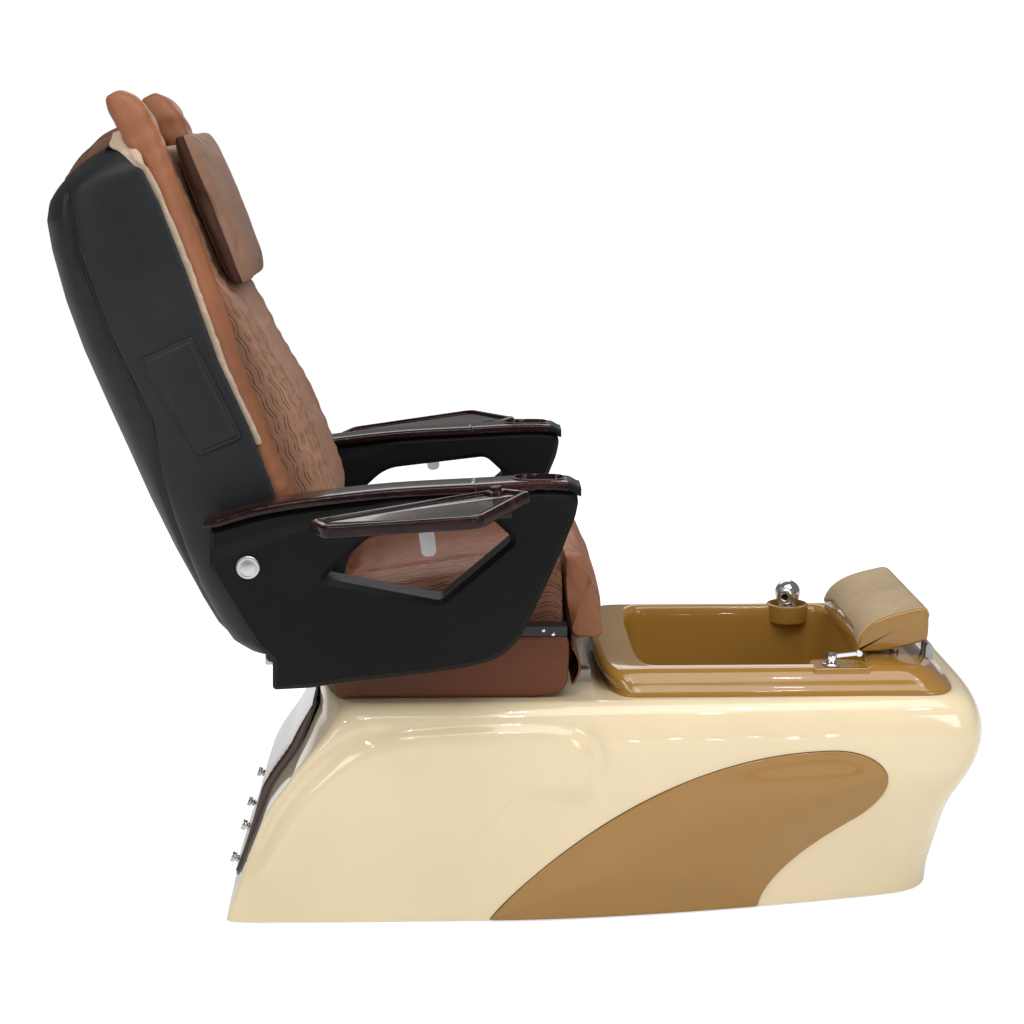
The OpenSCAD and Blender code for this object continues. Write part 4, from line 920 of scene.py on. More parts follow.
def between(rings, rows):
    # more rings, on smooth lines through the given ones
    rings = np.array(rings)
    n = len(rings)
    padded = np.concatenate([[2 * rings[0] - rings[1]], rings, [2 * rings[-1] - rings[-2]]])
    out = []
    for i in range(1, n):
        for k in range(rows):
            t = k / rows
            a, b, c, d = padded[i - 1], padded[i], padded[i + 1], padded[i + 2]
            m0, m1 = (c - a) * 0.5, (d - b) * 0.5
            out.append((2 * t ** 3 - 3 * t * t + 1) * b + (t ** 3 - 2 * t * t + t) * m0
                       + (-2 * t ** 3 + 3 * t * t) * c + (t ** 3 - t * t) * m1)
    out.append(rings[-1])
    return out


def makeTub():
    floor = rimTop - tub["depth"]
    # inset at the rear, the front and the sides, and height
    steps = [(120, 120, 110, floor), (62, 62, 70, floor + 3), (36, 44, 50, floor + 12),
             (18, 32, 36, floor + 30), (8, 25, 28, floor + 60), (7, 18, 17, rimTop - 175),
             (6, 9, 7, rimTop - 65), (4, 5, 3, rimTop - 18), (1, 2, 0, rimTop - 6)]

    def basin(step, d):
        return tubRing(tub["rear"] + step[0] - d, tub["front"] - step[1] + d, tub["half"] - step[2] + d,
                       step[3] - d, 62 + d)

    rim = [(-4, 4, -4, -1.2, 63), (-8, 8, -8, 0.2, 64), (-14, 16, -12, 0, 66), (-30, 44, -14, -0.2, 70),
           (-45, 68, -19, -1.0, 74), (-58, 88, -27, -3.0, 75), (-66, 102, -35, -8.0, 75),
           (-66, 114, -43, -16, 76), (-60, 126, -51, -27, 78)]
    inside = [basin(s, 0) for s in steps]
    over = [tubRing(tub["rear"] + a, tub["front"] + b, tub["half"] - c, rimTop + d, r)
            for a, b, c, d, r in rim]
    foot = [tubRing(tub["rimRear"] + a, tub["rimFront"] - b, tub["rimHalf"] - c, deckHeight + d, 80)
            for a, b, c, d in ((3, 6, 3, 8), (0, 0, 0, 1.2), (2, 2, 2, 0.3))]
    wall = tub["wall"]
    outside = [tubRing(tub["rear"] - wall, tub["front"] + wall, tub["half"] + wall, deckHeight + 0.3)]
    below = [basin(s, wall) for s in reversed(steps[:6])]
    top = between(inside + over + foot, 4)
    verts, faces = skin(top + outside + below)
    shell = piece("footBasin", verts, faces, "tan_gelcoat", "base", ["tub"], ride=False)
    outward(shell)
    drill(shell, (*tub["drain"], floor - 30), (*tub["drain"], floor + 30), tub["drainRadius"])
    jet = tub["jetHeight"]
    drill(shell, (tub["rear"] - 40, 0, jet), (tub["rear"] + 40, 0, jet), tub["jetRadius"])
    smooth(shell.data, 36)
    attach(shell, "base")


makeBase()
print("base shell made")
inlayPieces = [makeInlay(-1, "Right"), makeInlay(1, "Left")]
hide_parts("side_inlays")
makeTub()
print("inlays and foot basin made")


# back, drawn upright from its pivot: x forwards, z along the spine

backTop = 825
shellLine = {
    "rear": [(-40, -66), (-34, -76), (-6, -105), (24, -117), (72, -127), (168, -142), (259, -152),
             (348, -159), (438, -167), (527, -174), (612, -175), (695, -169), (743, -161), (770, -147),
             (790, -125), (806, -99), (818, -71), (825, -46)],
    "front": [(-40, 58), (238, 62), (326, 58), (451, 45), (605, 43), (717, 38), (772, 30), (797, 16),
              (812, 4), (825, -12)],
    "seam": [(-40, -88), (100, -112), (225, -112), (293, -107), (391, -90), (533, -108), (683, -112),
             (789, -92), (825, -60)],
    "half": 245, "corner": 105, "wall": 5, "groove": 9.0, "grooveHalf": 5.0, "puff": 8.0, "around": 90,
    "top": [(814, 0.4), (819, 1.5), (823, 4), (backTop, 9)],
}
padLine = [(92, 118), (170, 148), (313, 142), (430, 118), (535, 100), (580, 84), (660, 78), (800, 68)]
bolsterLine = [(62, 90), (211, 89), (300, 84), (406, 78), (558, 79), (693, 76), (794, 74), (850, 70),
               (880, 58), (900, 42)]


def onBack(points):
    p = np.asarray(points, float)
    return np.stack([-390 + 0.9537 * p[..., 0] - 0.3007 * p[..., 2], p[..., 1],
                     480 + 0.3007 * p[..., 0] + 0.9537 * p[..., 2]], -1)


def ripple(points, scale, strength, seed):
    # small random lift for each point, strength in the points' own unit
    shift = Vector((seed, seed * 2.0, seed * 3.0))
    return np.array([noise.noise(Vector(p) / scale + shift) for p in points]) * strength


def superEllipse(power):
    # rounded box from -1 to 1
    a = np.radians(np.linspace(0, 360, 720, endpoint=False))
    c, s = np.cos(a), np.sin(a)
    return np.stack([np.sign(c) * np.abs(c) ** power, np.sign(s) * np.abs(s) ** power], 1)


def boxRing(middle, half, power, count):
    # rounded box in a plane with its points at even distances
    return spread(superEllipse(power) * half + middle, count, closed=True)


def shellHalf(z):
    return shellLine["half"] - 28 * ease((z - 764) / 57.5) ** 2


def shellPath(z, d, raised=False):
    # the shell's cross-section, open at the front and d inside its outer line
    rear, front = along(shellLine["rear"], z) + d, along(shellLine["front"], z)
    w, r = shellHalf(z) - d, shellLine["corner"]
    a = np.radians(np.linspace(90, 0, 60))
    side = np.stack([np.linspace(front, rear + r, 60)[:-1], np.full(59, w)], 1)
    corner = np.stack([rear + r * (1 - np.sin(a) ** 0.62), w * np.cos(a) ** 0.62], 1)[::-1]
    corner = corner[np.argsort(-corner[:, 0])]
    half = spread(np.vstack([side, corner]), shellLine["around"])
    if raised:
        ahead = np.gradient(half, axis=0)
        out = np.stack([-ahead[:, 1], ahead[:, 0]], 1)
        out /= np.linalg.norm(out, axis=1)[:, None] + 1e-9
        out *= np.where(out[:, 1:] + 0.4 * -out[:, :1] < 0, -1, 1)
        away = half[:, 0] - along(shellLine["seam"], z)
        onSide = ease((half[:, 1] - 120) / 60)
        reach = np.clip(away / np.maximum(1.0, front - along(shellLine["seam"], z)), 0, 1)
        lift = shellLine["puff"] * np.sin(np.pi * reach ** 0.8) ** 1.2 + 3.0 * ease(-away / 40) * onSide
        lift = lift - shellLine["groove"] * np.exp(-(away / shellLine["grooveHalf"]) ** 2) * onSide
        fade = ease((812 - z) / 25)
        half = half + out * (lift * fade)[:, None]
    return np.vstack([half, half[-2::-1] * (1, -1)])


def makeBackShell():
    levels = np.concatenate([np.arange(-40, 800, 7.0), np.linspace(800, 812, 5)])
    rows = []
    for z in levels:
        outer, inner = shellPath(z, 0, raised=True), shellPath(z, shellLine["wall"])
        lip = np.array([max(outer[0][0], inner[0][0]) + 2.2, (outer[0][1] + inner[0][1]) / 2])
        flat = np.vstack([lip[None], outer, (lip * (1, -1))[None], inner[::-1]])
        rows.append(np.column_stack([flat, np.full(len(flat), z)]))
    for z, d in shellLine["top"]:
        outer = shellPath(z, d)
        mouth = np.column_stack([np.full(len(outer), along(shellLine["front"], z) - 0.5 - d),
                                 outer[:, 1] * 0.999])
        lip = (outer[0] + mouth[0]) / 2
        flat = np.vstack([lip[None], outer, (lip * (1, -1))[None], mouth[::-1]])
        rows.append(np.column_stack([flat, np.full(len(flat), z)]))
    verts, faces = skin(rows, caps=False)
    # the open ends are closed between the outer and the inner wall
    n, half = len(rows[0]), 2 * shellLine["around"]
    for row, flip in ((0, False), (len(rows) - 1, True)):
        for j in range(half):
            a, b = row * n + j, row * n + j + 1
            c, d = row * n + (n - j - 1) % n, row * n + (n - j) % n
            quad = [a, b, c, d] if j else [a, b, c]
            faces.append(tuple(dict.fromkeys(quad if flip else quad[::-1])))
    lift = ripple(verts, 70.0, 1.6, 3) + ripple(verts, 26.0, 0.5, 5)
    y = np.abs(verts[:, 1])
    verts[:, 1] += np.sign(verts[:, 1]) * np.abs(lift) * ease((y - 150) / 60) * ease((800 - verts[:, 2]) / 60)
    shell = piece("blackShell", onBack(verts), faces, "black_leather", "back", ["back_shell"], ride=False)
    outward(shell)
    smooth(shell.data, 62)
    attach(shell, "back")


def sideSwell(flat):
    # how far out the shell's side stands at (x, z)
    seam, front = along(shellLine["seam"], flat[:, 1]), along(shellLine["front"], flat[:, 1])
    reach = np.clip((flat[:, 0] - seam) / (front - seam), 0, 1)
    return shellLine["half"] + 0.8 + shellLine["puff"] * np.sin(np.pi * reach ** 0.8) ** 1.2


pocket = {"outline": [(-74, 490), (-31, 312), (46, 318), (22, 500)], "corner": 9, "inside": 11, "up": 4.4,
          "edge": [(0, 0.0), (0, 1.6), (0.8, 2.8), (2.5, 3.4), (5, 3.0), (6.2, 2.4), (7.4, 3.4), (11, 4.4)]}


def makePockets():
    line = spread(rounded(pocket["outline"], pocket["corner"], 5), 220, closed=True)
    parts = []
    for side in (-1, 1):
        rows = []
        for inward, up in pocket["edge"]:
            ring = shrunk(line, inward)
            rows.append(np.column_stack([ring[:, 0], sideSwell(ring) + up, ring[:, 1]]))
        flat, inner = filled(shrunk(line, pocket["inside"]), 14)
        verts, faces = skin(rows, caps=False)
        offset = len(verts)
        verts = np.vstack([verts, np.column_stack([flat[:, 0], sideSwell(flat) + pocket["up"], flat[:, 1]])])
        faces = list(faces) + [[i + offset for i in f] for f in inner]
        verts[:, 1] += np.abs(ripple(verts, 34.0, 1.4, 8))
        verts[:, 1] *= side
        parts.append(piece(f"pocket{side}", onBack(verts), faces, "black_leather", "back", ride=False))
    both = joinPieces("sidePockets", parts)
    outward(both)
    dress(both, "black_leather", "back", ["back_pockets"], 50, ride=False)
    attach(both, "back")


def lengthMarks(obj, run, length):
    # distances along a piece's surface, in metres, for its finish
    for name, values in (("run", run), ("length", length)):
        layer = obj.data.attributes.new(name, "FLOAT", "POINT")
        full = np.zeros(len(obj.data.vertices))
        full[:len(values)] = np.array(values) * mm
        layer.data.foreach_set("value", full)


backPad = {"low": 92, "high": 800, "half": 170, "rear": 28, "around": 200, "rows": 150, "channelAt": 118,
           "channel": 8.5, "stitchAt": 98, "belly": 3.0, "gatherAt": 145, "gather": 1.1, "pressure": 2.5,
           "cap": 1.5}


def makePad():
    p = backPad
    rows, run, length = [], [], []
    for t in np.linspace(0, 1, p["rows"]):
        z = mix(p["low"], p["high"], t)
        soft = max(0.0, 1 - abs(2 * t - 1) ** 14) ** 0.4
        front = float(flow(padLine, z))
        w = p["half"] - 2 * (1 - soft)
        deep = (front - p["rear"]) * mix(0.7, 1, soft)
        ring = boxRing((p["rear"] + deep / 2, 0), (deep / 2, w), 0.30, p["around"])
        ahead = ease((ring[:, 0] - p["rear"] - deep * 0.6) / (deep * 0.3))
        y = ring[:, 1]
        away = np.abs(y)
        stitch = 0.45 * np.exp(-((away - p["stitchAt"]) / 3.5) ** 2)
        channel = p["channel"] * soft * (np.exp(-((away - p["channelAt"]) / 5.5) ** 2) + stitch)
        belly = p["belly"] * np.cos(y / p["channelAt"] * math.pi / 2 * 0.98) * (away < p["channelAt"])
        gather = p["gather"] * np.sin(z / 4.6 + 1.3 * math.sin(z / 31))
        gather = gather * np.exp(-((away - p["gatherAt"]) / 14) ** 2)
        ring[:, 0] += ahead * (belly - channel + gather * soft)
        rows.append(np.column_stack([ring, np.full(p["around"], z)]))
        run.append(y + np.sign(y) * np.maximum(0, p["rear"] + deep - ring[:, 0]))
        length.append(np.full(p["around"], z))
    verts, faces = skin(rows)
    verts[:, 0] += ripple(verts, 45.0, 1.8, 11) * ease((verts[:, 0] - 60) / 30)
    pad = piece("backPad", onBack(verts), faces, "brown_leather", "back", ["back_pad"], 60, quiltedBrown,
                ride=False)
    swollen(pad, p["pressure"], p["cap"])
    lengthMarks(pad, np.concatenate(run), np.concatenate(length))
    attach(pad, "back")


bolster = {"low": 62, "high": 900, "inner": 170, "outer": 235.5, "around": 72, "rows": 190,
           "thick": (58, 44), "spine": 29, "head": 15, "fold": (1.5, 0.9), "pressure": 3.0, "cap": 2}


def makeBolster(side, word):
    p = bolster
    middle = (p["inner"] + p["outer"]) / 2
    rows = []
    for t in np.linspace(0, 1, p["rows"]):
        z = mix(p["low"], p["high"], 1 - (1 - t) ** 1.12)
        u = (z - p["low"]) / (p["high"] - p["low"])
        soft = max(0.0, 1 - abs(2 * u - 1) ** 22) ** 0.5
        front, full = float(flow(bolsterLine, z)), mix(*p["thick"], np.clip((z - 700) / 200, 0, 1))
        deep = full * mix(0.25, 1, soft)
        deep += p["head"] * float(ease((z - 770) / 80)) * soft
        rear = front - deep - 6 * (1 - soft)
        w = (p["outer"] - p["inner"]) / 2 * mix(0.45, 1, soft)
        ring = boxRing((rear + deep / 2, middle), (deep / 2, w), 0.7, p["around"])
        rows.append(np.column_stack([ring, np.full(p["around"], z)]))
    verts, faces = skin(rows)
    spine = along(bolsterLine, verts[:, 2]) - p["spine"]
    out = np.stack([verts[:, 0] - spine, verts[:, 1] - middle, np.zeros(len(verts))], 1)
    out /= np.linalg.norm(out, axis=1)[:, None] + 1e-9
    z = verts[:, 2]
    bottom, top = 1 - ease((z - 90) / 260), ease((z - 700) / 140)
    depth = p["fold"][0] * bottom + p["fold"][1] * top
    fold = np.sin(z / 6.5 + verts[:, 1] / 9.0 + 2.0 * np.sin(z / 41)) * depth
    fold += ripple(verts * (1, 1, 0.7), 30.0, 1.6, 21 + side) * (0.5 + bottom + top)
    verts = verts + out * fold[:, None]
    verts[:, 1] = np.minimum(verts[:, 1], p["outer"] + 0.8)
    verts[:, 1] *= side
    faces = faces if side > 0 else [f[::-1] for f in faces]
    obj = piece(f"bolster{word}", onBack(verts), faces, "brown_leather", "back", [f"bolster_{word.lower()}"],
                60, russetLeather, ride=False)
    outward(obj)
    swollen(obj, p["pressure"], p["cap"])
    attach(obj, "back")


liner = {"low": 300, "high": 842, "middle": 238, "thick": 2, "around": 44, "rows": 140, "past": 4.2,
         "top": 797, "hem": [(797, 14), (812, 3), (820, -7), (828, -8), (835, 0), (842, 4)]}


def makeLiner():
    p = liner
    parts = []
    for side in (-1, 1):
        rows = []
        for z in np.linspace(p["low"], p["high"], p["rows"]):
            front = along(shellLine["front"], min(z, 800))
            hem = along(p["hem"], z)
            x0 = mix(front - 14, front - 2, float(ease((z - 758) / 22))) if z < p["top"] else hem
            x1 = max(front + 12, along(bolsterLine, z) - 36 - 8 * float(ease((z - 790) / 40)))
            ring = boxRing(((x0 + x1) / 2, p["middle"]), ((x1 - x0) / 2, p["thick"]), 0.6, p["around"])
            past = ease((ring[:, 0] - front - 1) / 8)
            ring[:, 1] += past * p["past"] * (ring[:, 1] > p["middle"])
            rows.append(np.column_stack([ring, np.full(p["around"], z)]))
        verts, faces = skin(rows)
        tuft = ripple(verts, 11.0, 1.4, 31) + ripple(verts * (1, 1, 0.4), 20.0, 3.6, 33)
        past = ease((verts[:, 0] - along(shellLine["front"], verts[:, 2]) - 3) / 8)
        verts[:, 1] += past * tuft * (verts[:, 1] > p["middle"] + 1)
        verts[:, 0] += past * tuft * 0.9 * ease((800 - verts[:, 2]) / 60)
        verts[:, 1] += shellHalf(np.minimum(verts[:, 2], 812)) - shellLine["half"] \
            + 8 * ease((verts[:, 2] - 765) / 25)
        verts[:, 1] *= side
        parts.append(piece(f"liner{side}", onBack(verts), faces, "cream_lining", "back", ride=False))
    both = joinPieces("fleeceLiner", parts)
    outward(both)
    dress(both, "cream_lining", "back", ["back_liner"], 70, ride=False)
    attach(both, "back")


headPillow = {"low": 552, "high": 806, "half": 165, "deep": 49, "rear": (86.5, 71.5), "around": 150, "rows": 76,
              "piping": 2.0, "belly": 3.0, "pressure": 3.0, "cap": 3}


def makePillow():
    p = headPillow
    low, high, half, deep = p["low"], p["high"], p["half"], p["deep"]
    rows = []
    for t in (1 - np.cos(np.pi * np.linspace(0, 1, p["rows"]))) / 2:
        z = mix(low, high, t)
        soft = max(0.0, 1 - abs(2 * t - 1) ** 5) ** 0.45
        rear = mix(*p["rear"], t)
        w = half * mix(0.94, 1, soft) - 4 * math.sin(math.pi * t)
        ring = boxRing((0, 0), (1.0, w), 0.2, 500)
        thin = 1 - 0.52 * np.abs(ring[:, 1] / half) ** 6
        reach = ring[:, 0] * deep / 2 * mix(0.45, 1, soft) * thin
        ring = spread(np.stack([rear + deep / 2 + reach, ring[:, 1]], 1), p["around"], closed=True)
        front = ease((ring[:, 0] - rear - deep * 0.5) / (deep * 0.3))
        # piped seam round the pillow's edge
        edge = np.exp(-((ring[:, 0] - rear - deep * 0.62) / 2.0) ** 2) * (np.abs(ring[:, 1]) > w * 0.93)
        ring[:, 0] += front * p["belly"] * (1 - (ring[:, 1] / half) ** 2) * math.sin(math.pi * t) ** 0.5
        ring[:, 1] += np.sign(ring[:, 1]) * p["piping"] * edge
        rows.append(np.column_stack([ring, np.full(p["around"], z)]))
    verts, faces = skin(rows)
    verts[:, 0] += ripple(verts, 60.0, 2.4, 41) * ease((verts[:, 0] - 95) / 15)
    pillow = piece("headPillow", onBack(verts), faces, "brown_leather", "back", ["head_pillow"], 60,
                   pillowLeather, ride=False)
    outward(pillow)
    swollen(pillow, p["pressure"], p["cap"])
    # painted shade: the leather at the sides and the rear drawn darker, for the shadow between the pillow and
    # the pad
    depth = (verts[:, 0] - along(list(zip((low, high), p["rear"])), verts[:, 2])) / deep
    away = np.abs(verts[:, 2] - (low + high) / 2)
    outer = np.maximum(ease((np.abs(verts[:, 1]) / half - 0.86) / 0.08), ease((away - 112) / 12))
    layer = pillow.data.attributes.new("edging", "FLOAT", "POINT")
    layer.data.foreach_set("value", ease((0.68 - depth) / 0.14) * outer)
    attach(pillow, "back")


topFlap = {"under": [(14, 826), (-16, 826), (-46, 826), (-66, 822), (-88, 809), (-106, 788), (-125, 765)],
           "over": [(-135, 769), (-112, 797), (-90, 817), (-62, 834), (-32, 849), (8, 855)],
           "half": 162, "points": 60, "rows": 90, "droop": 9, "folds": (17, 33), "fold": 2.4}


def makeFlap():
    p = topFlap
    count, half = p["points"], p["half"]
    lower, upper = throughPoints(p["under"], count), throughPoints(p["over"], count)
    middle = (lower[::-1] + upper) / 2
    rows = []
    for y in np.linspace(-half, half, p["rows"]):
        edge = max(0.0, 1 - abs(y / half) ** 26) ** 0.5
        droop = p["droop"] * float(ease((abs(y) - 95) / 67))
        sag = 2.2 * math.sin(y / 37.0) * 0.5 + 1.2 * math.sin(y / 13.0 + 1)
        up = middle + (upper - middle) * mix(0.35, 1, edge)
        down = middle + (lower[::-1] - middle) * mix(0.35, 1, edge)
        step = np.zeros(count)
        for at in p["folds"]:  # edges of the layers folded over one another
            past = np.arange(count) - at
            step += p["fold"] * (1 - ease(past / 2.0)) * ease((past + 14) / 12)
        up = up + np.stack([0.3 * step, step + sag * np.sin(np.linspace(0, np.pi, count))], 1)
        ring = np.vstack([up, down[::-1] - (0, 0.6 * droop)]) - (0, droop)
        rows.append(np.column_stack([ring[:, 0], np.full(len(ring), y), ring[:, 1]]))
    verts, faces = skin(rows)
    flap = piece("topFlap", onBack(verts), faces, "brown_leather", "back", ["cover_flap"], 45, flapLeather,
                 ride=False)
    outward(flap)
    smooth(flap.data, 45)
    flap.data.materials.append(flapLining)
    for polygon in flap.data.polygons:
        if abs(polygon.normal.y) > 0.75:
            polygon.material_index = 1
    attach(flap, "back")


russetLeather = leather("russetLeather", (0.27, 0.102, 0.046), 0.42, 0.7)
# the pillow's last colour is the painted shade at its sides and rear
pillowLeather = leather("pillowLeather", (0.225, 0.118, 0.073), 0.62, 0.45, (0.055, 0.022, 0.013))
flapLeather = leather("flapLeather", (0.13, 0.055, 0.030), 0.5, 0.7)
flapLining = leather("flapLining", (0.17, 0.088, 0.056), 0.7, 0.5)
quiltedBrown = quiltedLeather("quiltedBrown", (0.30, 0.155, 0.096), 0.55, 0.018)
makeBackShell()
makePockets()
makeLiner()
makePad()
makeBolster(-1, "Right")
makeBolster(1, "Left")
makePillow()
makeFlap()
print("back made")


# seat

seat = {"rear": -292, "front": 78, "half": 232, "base": 430.3, "top": 590, "slope": 50, "crown": 14,
        "channelAt": 130, "channel": 6, "welt": 2.6, "around": 190, "rows": 110, "pressure": 3.0, "cap": 5}


def seatTop(x):
    return seat["top"] - seat["slope"] * np.power((seat["front"] - x) / (seat["front"] - seat["rear"]), 0.8)


def makeSeatCushion():
    p = seat
    rows, run, length = [], [], []
    for t in np.linspace(0, 1, p["rows"]):
        x = mix(p["rear"], p["front"], (1 - math.cos(math.pi * t)) / 2)
        u = (x - p["rear"]) / (p["front"] - p["rear"])
        soft = max(0.0, 1 - abs(2 * u - 1) ** 10) ** 0.35
        high = float(seatTop(x))
        middle, halfHeight = (p["base"] + high) / 2, (high - p["base"]) / 2
        halfWidth = p["half"] - 5 * math.sin(math.pi * u) - 7 * (1 - soft)
        ring = boxRing((0, 0), (halfWidth, 1.0), 0.28, 400)
        up = ring[:, 1]
        z = middle + np.where(up > 0, halfHeight * mix(0.86, 1, soft) * up, halfHeight * up)
        ring = spread(np.stack([ring[:, 0], z], 1), p["around"], closed=True)
        onTop = ease((ring[:, 1] - middle) / (halfHeight * 0.7))
        y = np.abs(ring[:, 0])
        arch = (1 - (y / p["half"]) ** 2) * (0.4 + 0.6 * math.sin(math.pi * u))
        channel = p["channel"] * soft * np.exp(-((y - p["channelAt"]) / 6) ** 2)
        ring[:, 1] += onTop * (p["crown"] * soft * arch - channel)
        welt = p["welt"] * soft * np.exp(-((ring[:, 1] - (high - 26)) / 3.0) ** 2) * ease((y - 200) / 20)
        ring[:, 0] -= np.sign(ring[:, 0]) * welt
        rows.append(np.column_stack([np.full(p["around"], x), ring]))
        run.append(np.concatenate([[0], np.cumsum(np.linalg.norm(np.diff(ring, axis=0), axis=1))]))
        length.append(np.full(p["around"], x))
    verts, faces = skin(rows)
    verts[:, 2] += ripple(verts, 60.0, 2.0, 51) * ease((verts[:, 2] - 500) / 40)
    cushion = piece("seatCushion", verts, faces, "brown_leather", "carriage", ["seat_cushion"], 60,
                    quiltedSeat, ride=False)
    outward(cushion)
    swollen(cushion, p["pressure"], p["cap"])
    lengthMarks(cushion, np.concatenate(run), np.concatenate(length))
    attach(cushion, "carriage")


kneeRoll = {"face": [(1, 12), (22, 8), (44, -18), (59, -70), (69, -110), (68, -132), (60, -140)],
            "back": [(0.5, -8), (0.6, -18), (2, -70), (8, -110), (12, -132), (22, -140)],
            "middle": (30, -65), "rows": 130, "belly": 5, "fold": 4.5, "foldAt": 205, "crease": 0.9,
            "pressure": 3.0, "cap": 5}


def makeFrontCushion():
    p = kneeRoll
    line = np.vstack([throughPoints(p["face"], 90), throughPoints(p["back"], 60)[::-1]])
    middle = np.array(p["middle"])
    rows = []
    for v in -np.cos(np.pi * np.linspace(0, 1, p["rows"])):
        y = seat["half"] * v
        soft = max(0.0, 1 - abs(v) ** 9) ** 0.4
        ring = middle + (line - middle) * mix(0.8, 1, soft)
        ring[:, 0] += p["belly"] * (1 - v * v) * ease((ring[:, 0] - 30) / 20)
        # fold where the face meets the side panel
        corner = np.exp(-((abs(y) - p["foldAt"]) / 7) ** 2) * ease((-40 - ring[:, 1]) / 30)
        ring[:, 0] -= p["fold"] * corner * ease((ring[:, 0] - 40) / 12)
        crease = np.sin(ring[:, 1] / 5.5 + 2.0 * math.sin(y / 31)) * np.exp(-((ring[:, 1] + 22) / 22) ** 2)
        ring[:, 0] += p["crease"] * crease * soft * ease((ring[:, 0] - 25) / 15)
        ring[:, 0] = np.maximum(ring[:, 0], 0.5)
        rows.append(np.column_stack([seat["front"] + ring[:, 0], np.full(len(ring), y),
                                     seat["top"] + ring[:, 1]]))
    verts, faces = skin(rows)
    verts[:, 0] += ripple(verts, 38.0, 2.2, 61) * ease((verts[:, 0] - seat["front"] - 30) / 20)
    cushion = piece("kneeCushion", verts, faces, "brown_leather", "carriage", ["front_cushion"], 60,
                    seatLeather, ride=False)
    outward(cushion)
    swollen(cushion, p["pressure"], p["cap"])
    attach(cushion, "carriage")


skirt = {"line": [(-300, 371), (-290, 365), (30, 366), (72, 370), (86, 389), (88, 452), (84, 468.6),
                  (-150, 468.6), (-302, 430)],
         "rounds": [4, 4, 4, 14, 14, 10, 5, 40, 6], "outer": 271, "inner": 261, "wave": 1.4,
         "apronLow": 387, "apronHigh": 448, "apronX": 90, "apronBow": 17, "apronThick": 4}


def makeSkirts():
    line = spread(np.array(rounded(skirt["line"], skirt["rounds"], 6)), 300, closed=True)
    outer, inner = skirt["outer"], skirt["inner"]
    parts = []
    for side in (-1, 1):
        rows = []
        for inward, y in ((3, inner), (0.8, inner + 0.8), (0, inner + 3), (0, outer - 5), (0.5, outer - 2.4),
                          (2.2, outer - 0.8), (5.5, outer)):
            ring = shrunk(line, inward)
            rows.append(np.column_stack([ring[:, 0], np.full(len(ring), y), ring[:, 1]]))
        verts, faces = skin(rows, caps=False)
        faces = list(faces)
        for inward, y in ((3, inner), (5.5, outer)):
            flat, fill = filled(shrunk(line, inward), 10)
            offset = len(verts)
            verts = np.vstack([verts, np.column_stack([flat[:, 0], np.full(len(flat), y), flat[:, 1]])])
            faces += [[i + offset for i in f] for f in fill]
        wave = skirt["wave"] * np.sin(verts[:, 0] / 17.0 + verts[:, 2] / 60.0)
        wave = wave * np.exp(-((verts[:, 0] - 20) / 60) ** 2) + ripple(verts, 48.0, 2.0, 71)
        verts[:, 1] += np.abs(wave) * 0.9 * ease((verts[:, 1] - inner - 5) / 5)
        verts[:, 1] *= side
        parts.append(piece(f"skirt{side}", verts, faces, "brown_leather", "carriage", ride=False))
    # apron between the two side skirts, bowed forwards
    bow = np.array([(skirt["apronX"] + skirt["apronBow"] * math.sin(math.radians(mix(20, 160, t))),
                     mix(skirt["apronLow"], skirt["apronHigh"], t)) for t in np.linspace(0, 1, 40)])
    ring = np.vstack([bow, (bow - (skirt["apronThick"], 0))[::-1]])
    rows = [np.column_stack([ring[:, 0], np.full(len(ring), y), ring[:, 1]])
            for y in np.linspace(-outer, outer, 90)]
    verts, faces = skin(rows)
    parts.append(piece("apron", verts, faces, "brown_leather", "carriage", ride=False))
    skirts = joinPieces("seatSkirts", parts)
    outward(skirts)
    dress(skirts, "brown_leather", "carriage", ["seat_skirts"], 50, skirtLeather, ride=False)
    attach(skirts, "carriage")


seatLeather = leather("seatLeather", (0.27, 0.104, 0.05), 0.45, 0.8)
skirtLeather = leather("skirtLeather", (0.122, 0.035, 0.012), 0.42, 0.35)
quiltedSeat = quiltedLeather("quiltedSeat", (0.2, 0.078, 0.042), 0.44, 0.017)
makeSeatCushion()
makeFrontCushion()
makeSkirts()
print("seat made")


# arms

arm = {"inner": 275, "outer": 350, "middle": 312.5, "pivot": (-429, 605), "pivotHole": 7.6, "split": -68,
       "capHalf": 38.75, "capThick": 14, "capRear": -498, "cupEnd": 101, "wells": (22, 48), "wellRadius": 31,
       "ledge": 9, "ledgeTall": 19, "bevel": 8.5, "cut": 0.15,
       "neck": [(-520, 599), (-484, 612), (-350, 662), (-230, 690), (-100, 715)]}
armOutline = [(-490, 300), (-491, 234), (-421, 111), (-394, 86), (-395, 37), (-331, 40), (-286, 48),
              (-189, 58), (-93, 70), (-45, 81), (-20, 94), (4, 119), (36, 185), (72, 266), (80, 288),
              (92, 317), (97, 343)]
armRounds = [6, 10, 10, 6, 8, 14, 30, 30, 30, 26, 22, 30, 60, 30, 8, 12, 6]
armTopLine = [(-498, 313), (-407, 339), (-300, 355), (-187, 366), (-68, 372), (45, 377), (97, 374)]
armOpening = [(-310, 221), (-123, 183), (-6, 283), (-41, 316), (-230, 294)]
openingRounds = [10, 10, 12, 12, 26]


def armTop(x):
    return deckHeight + flow(armTopLine, x)


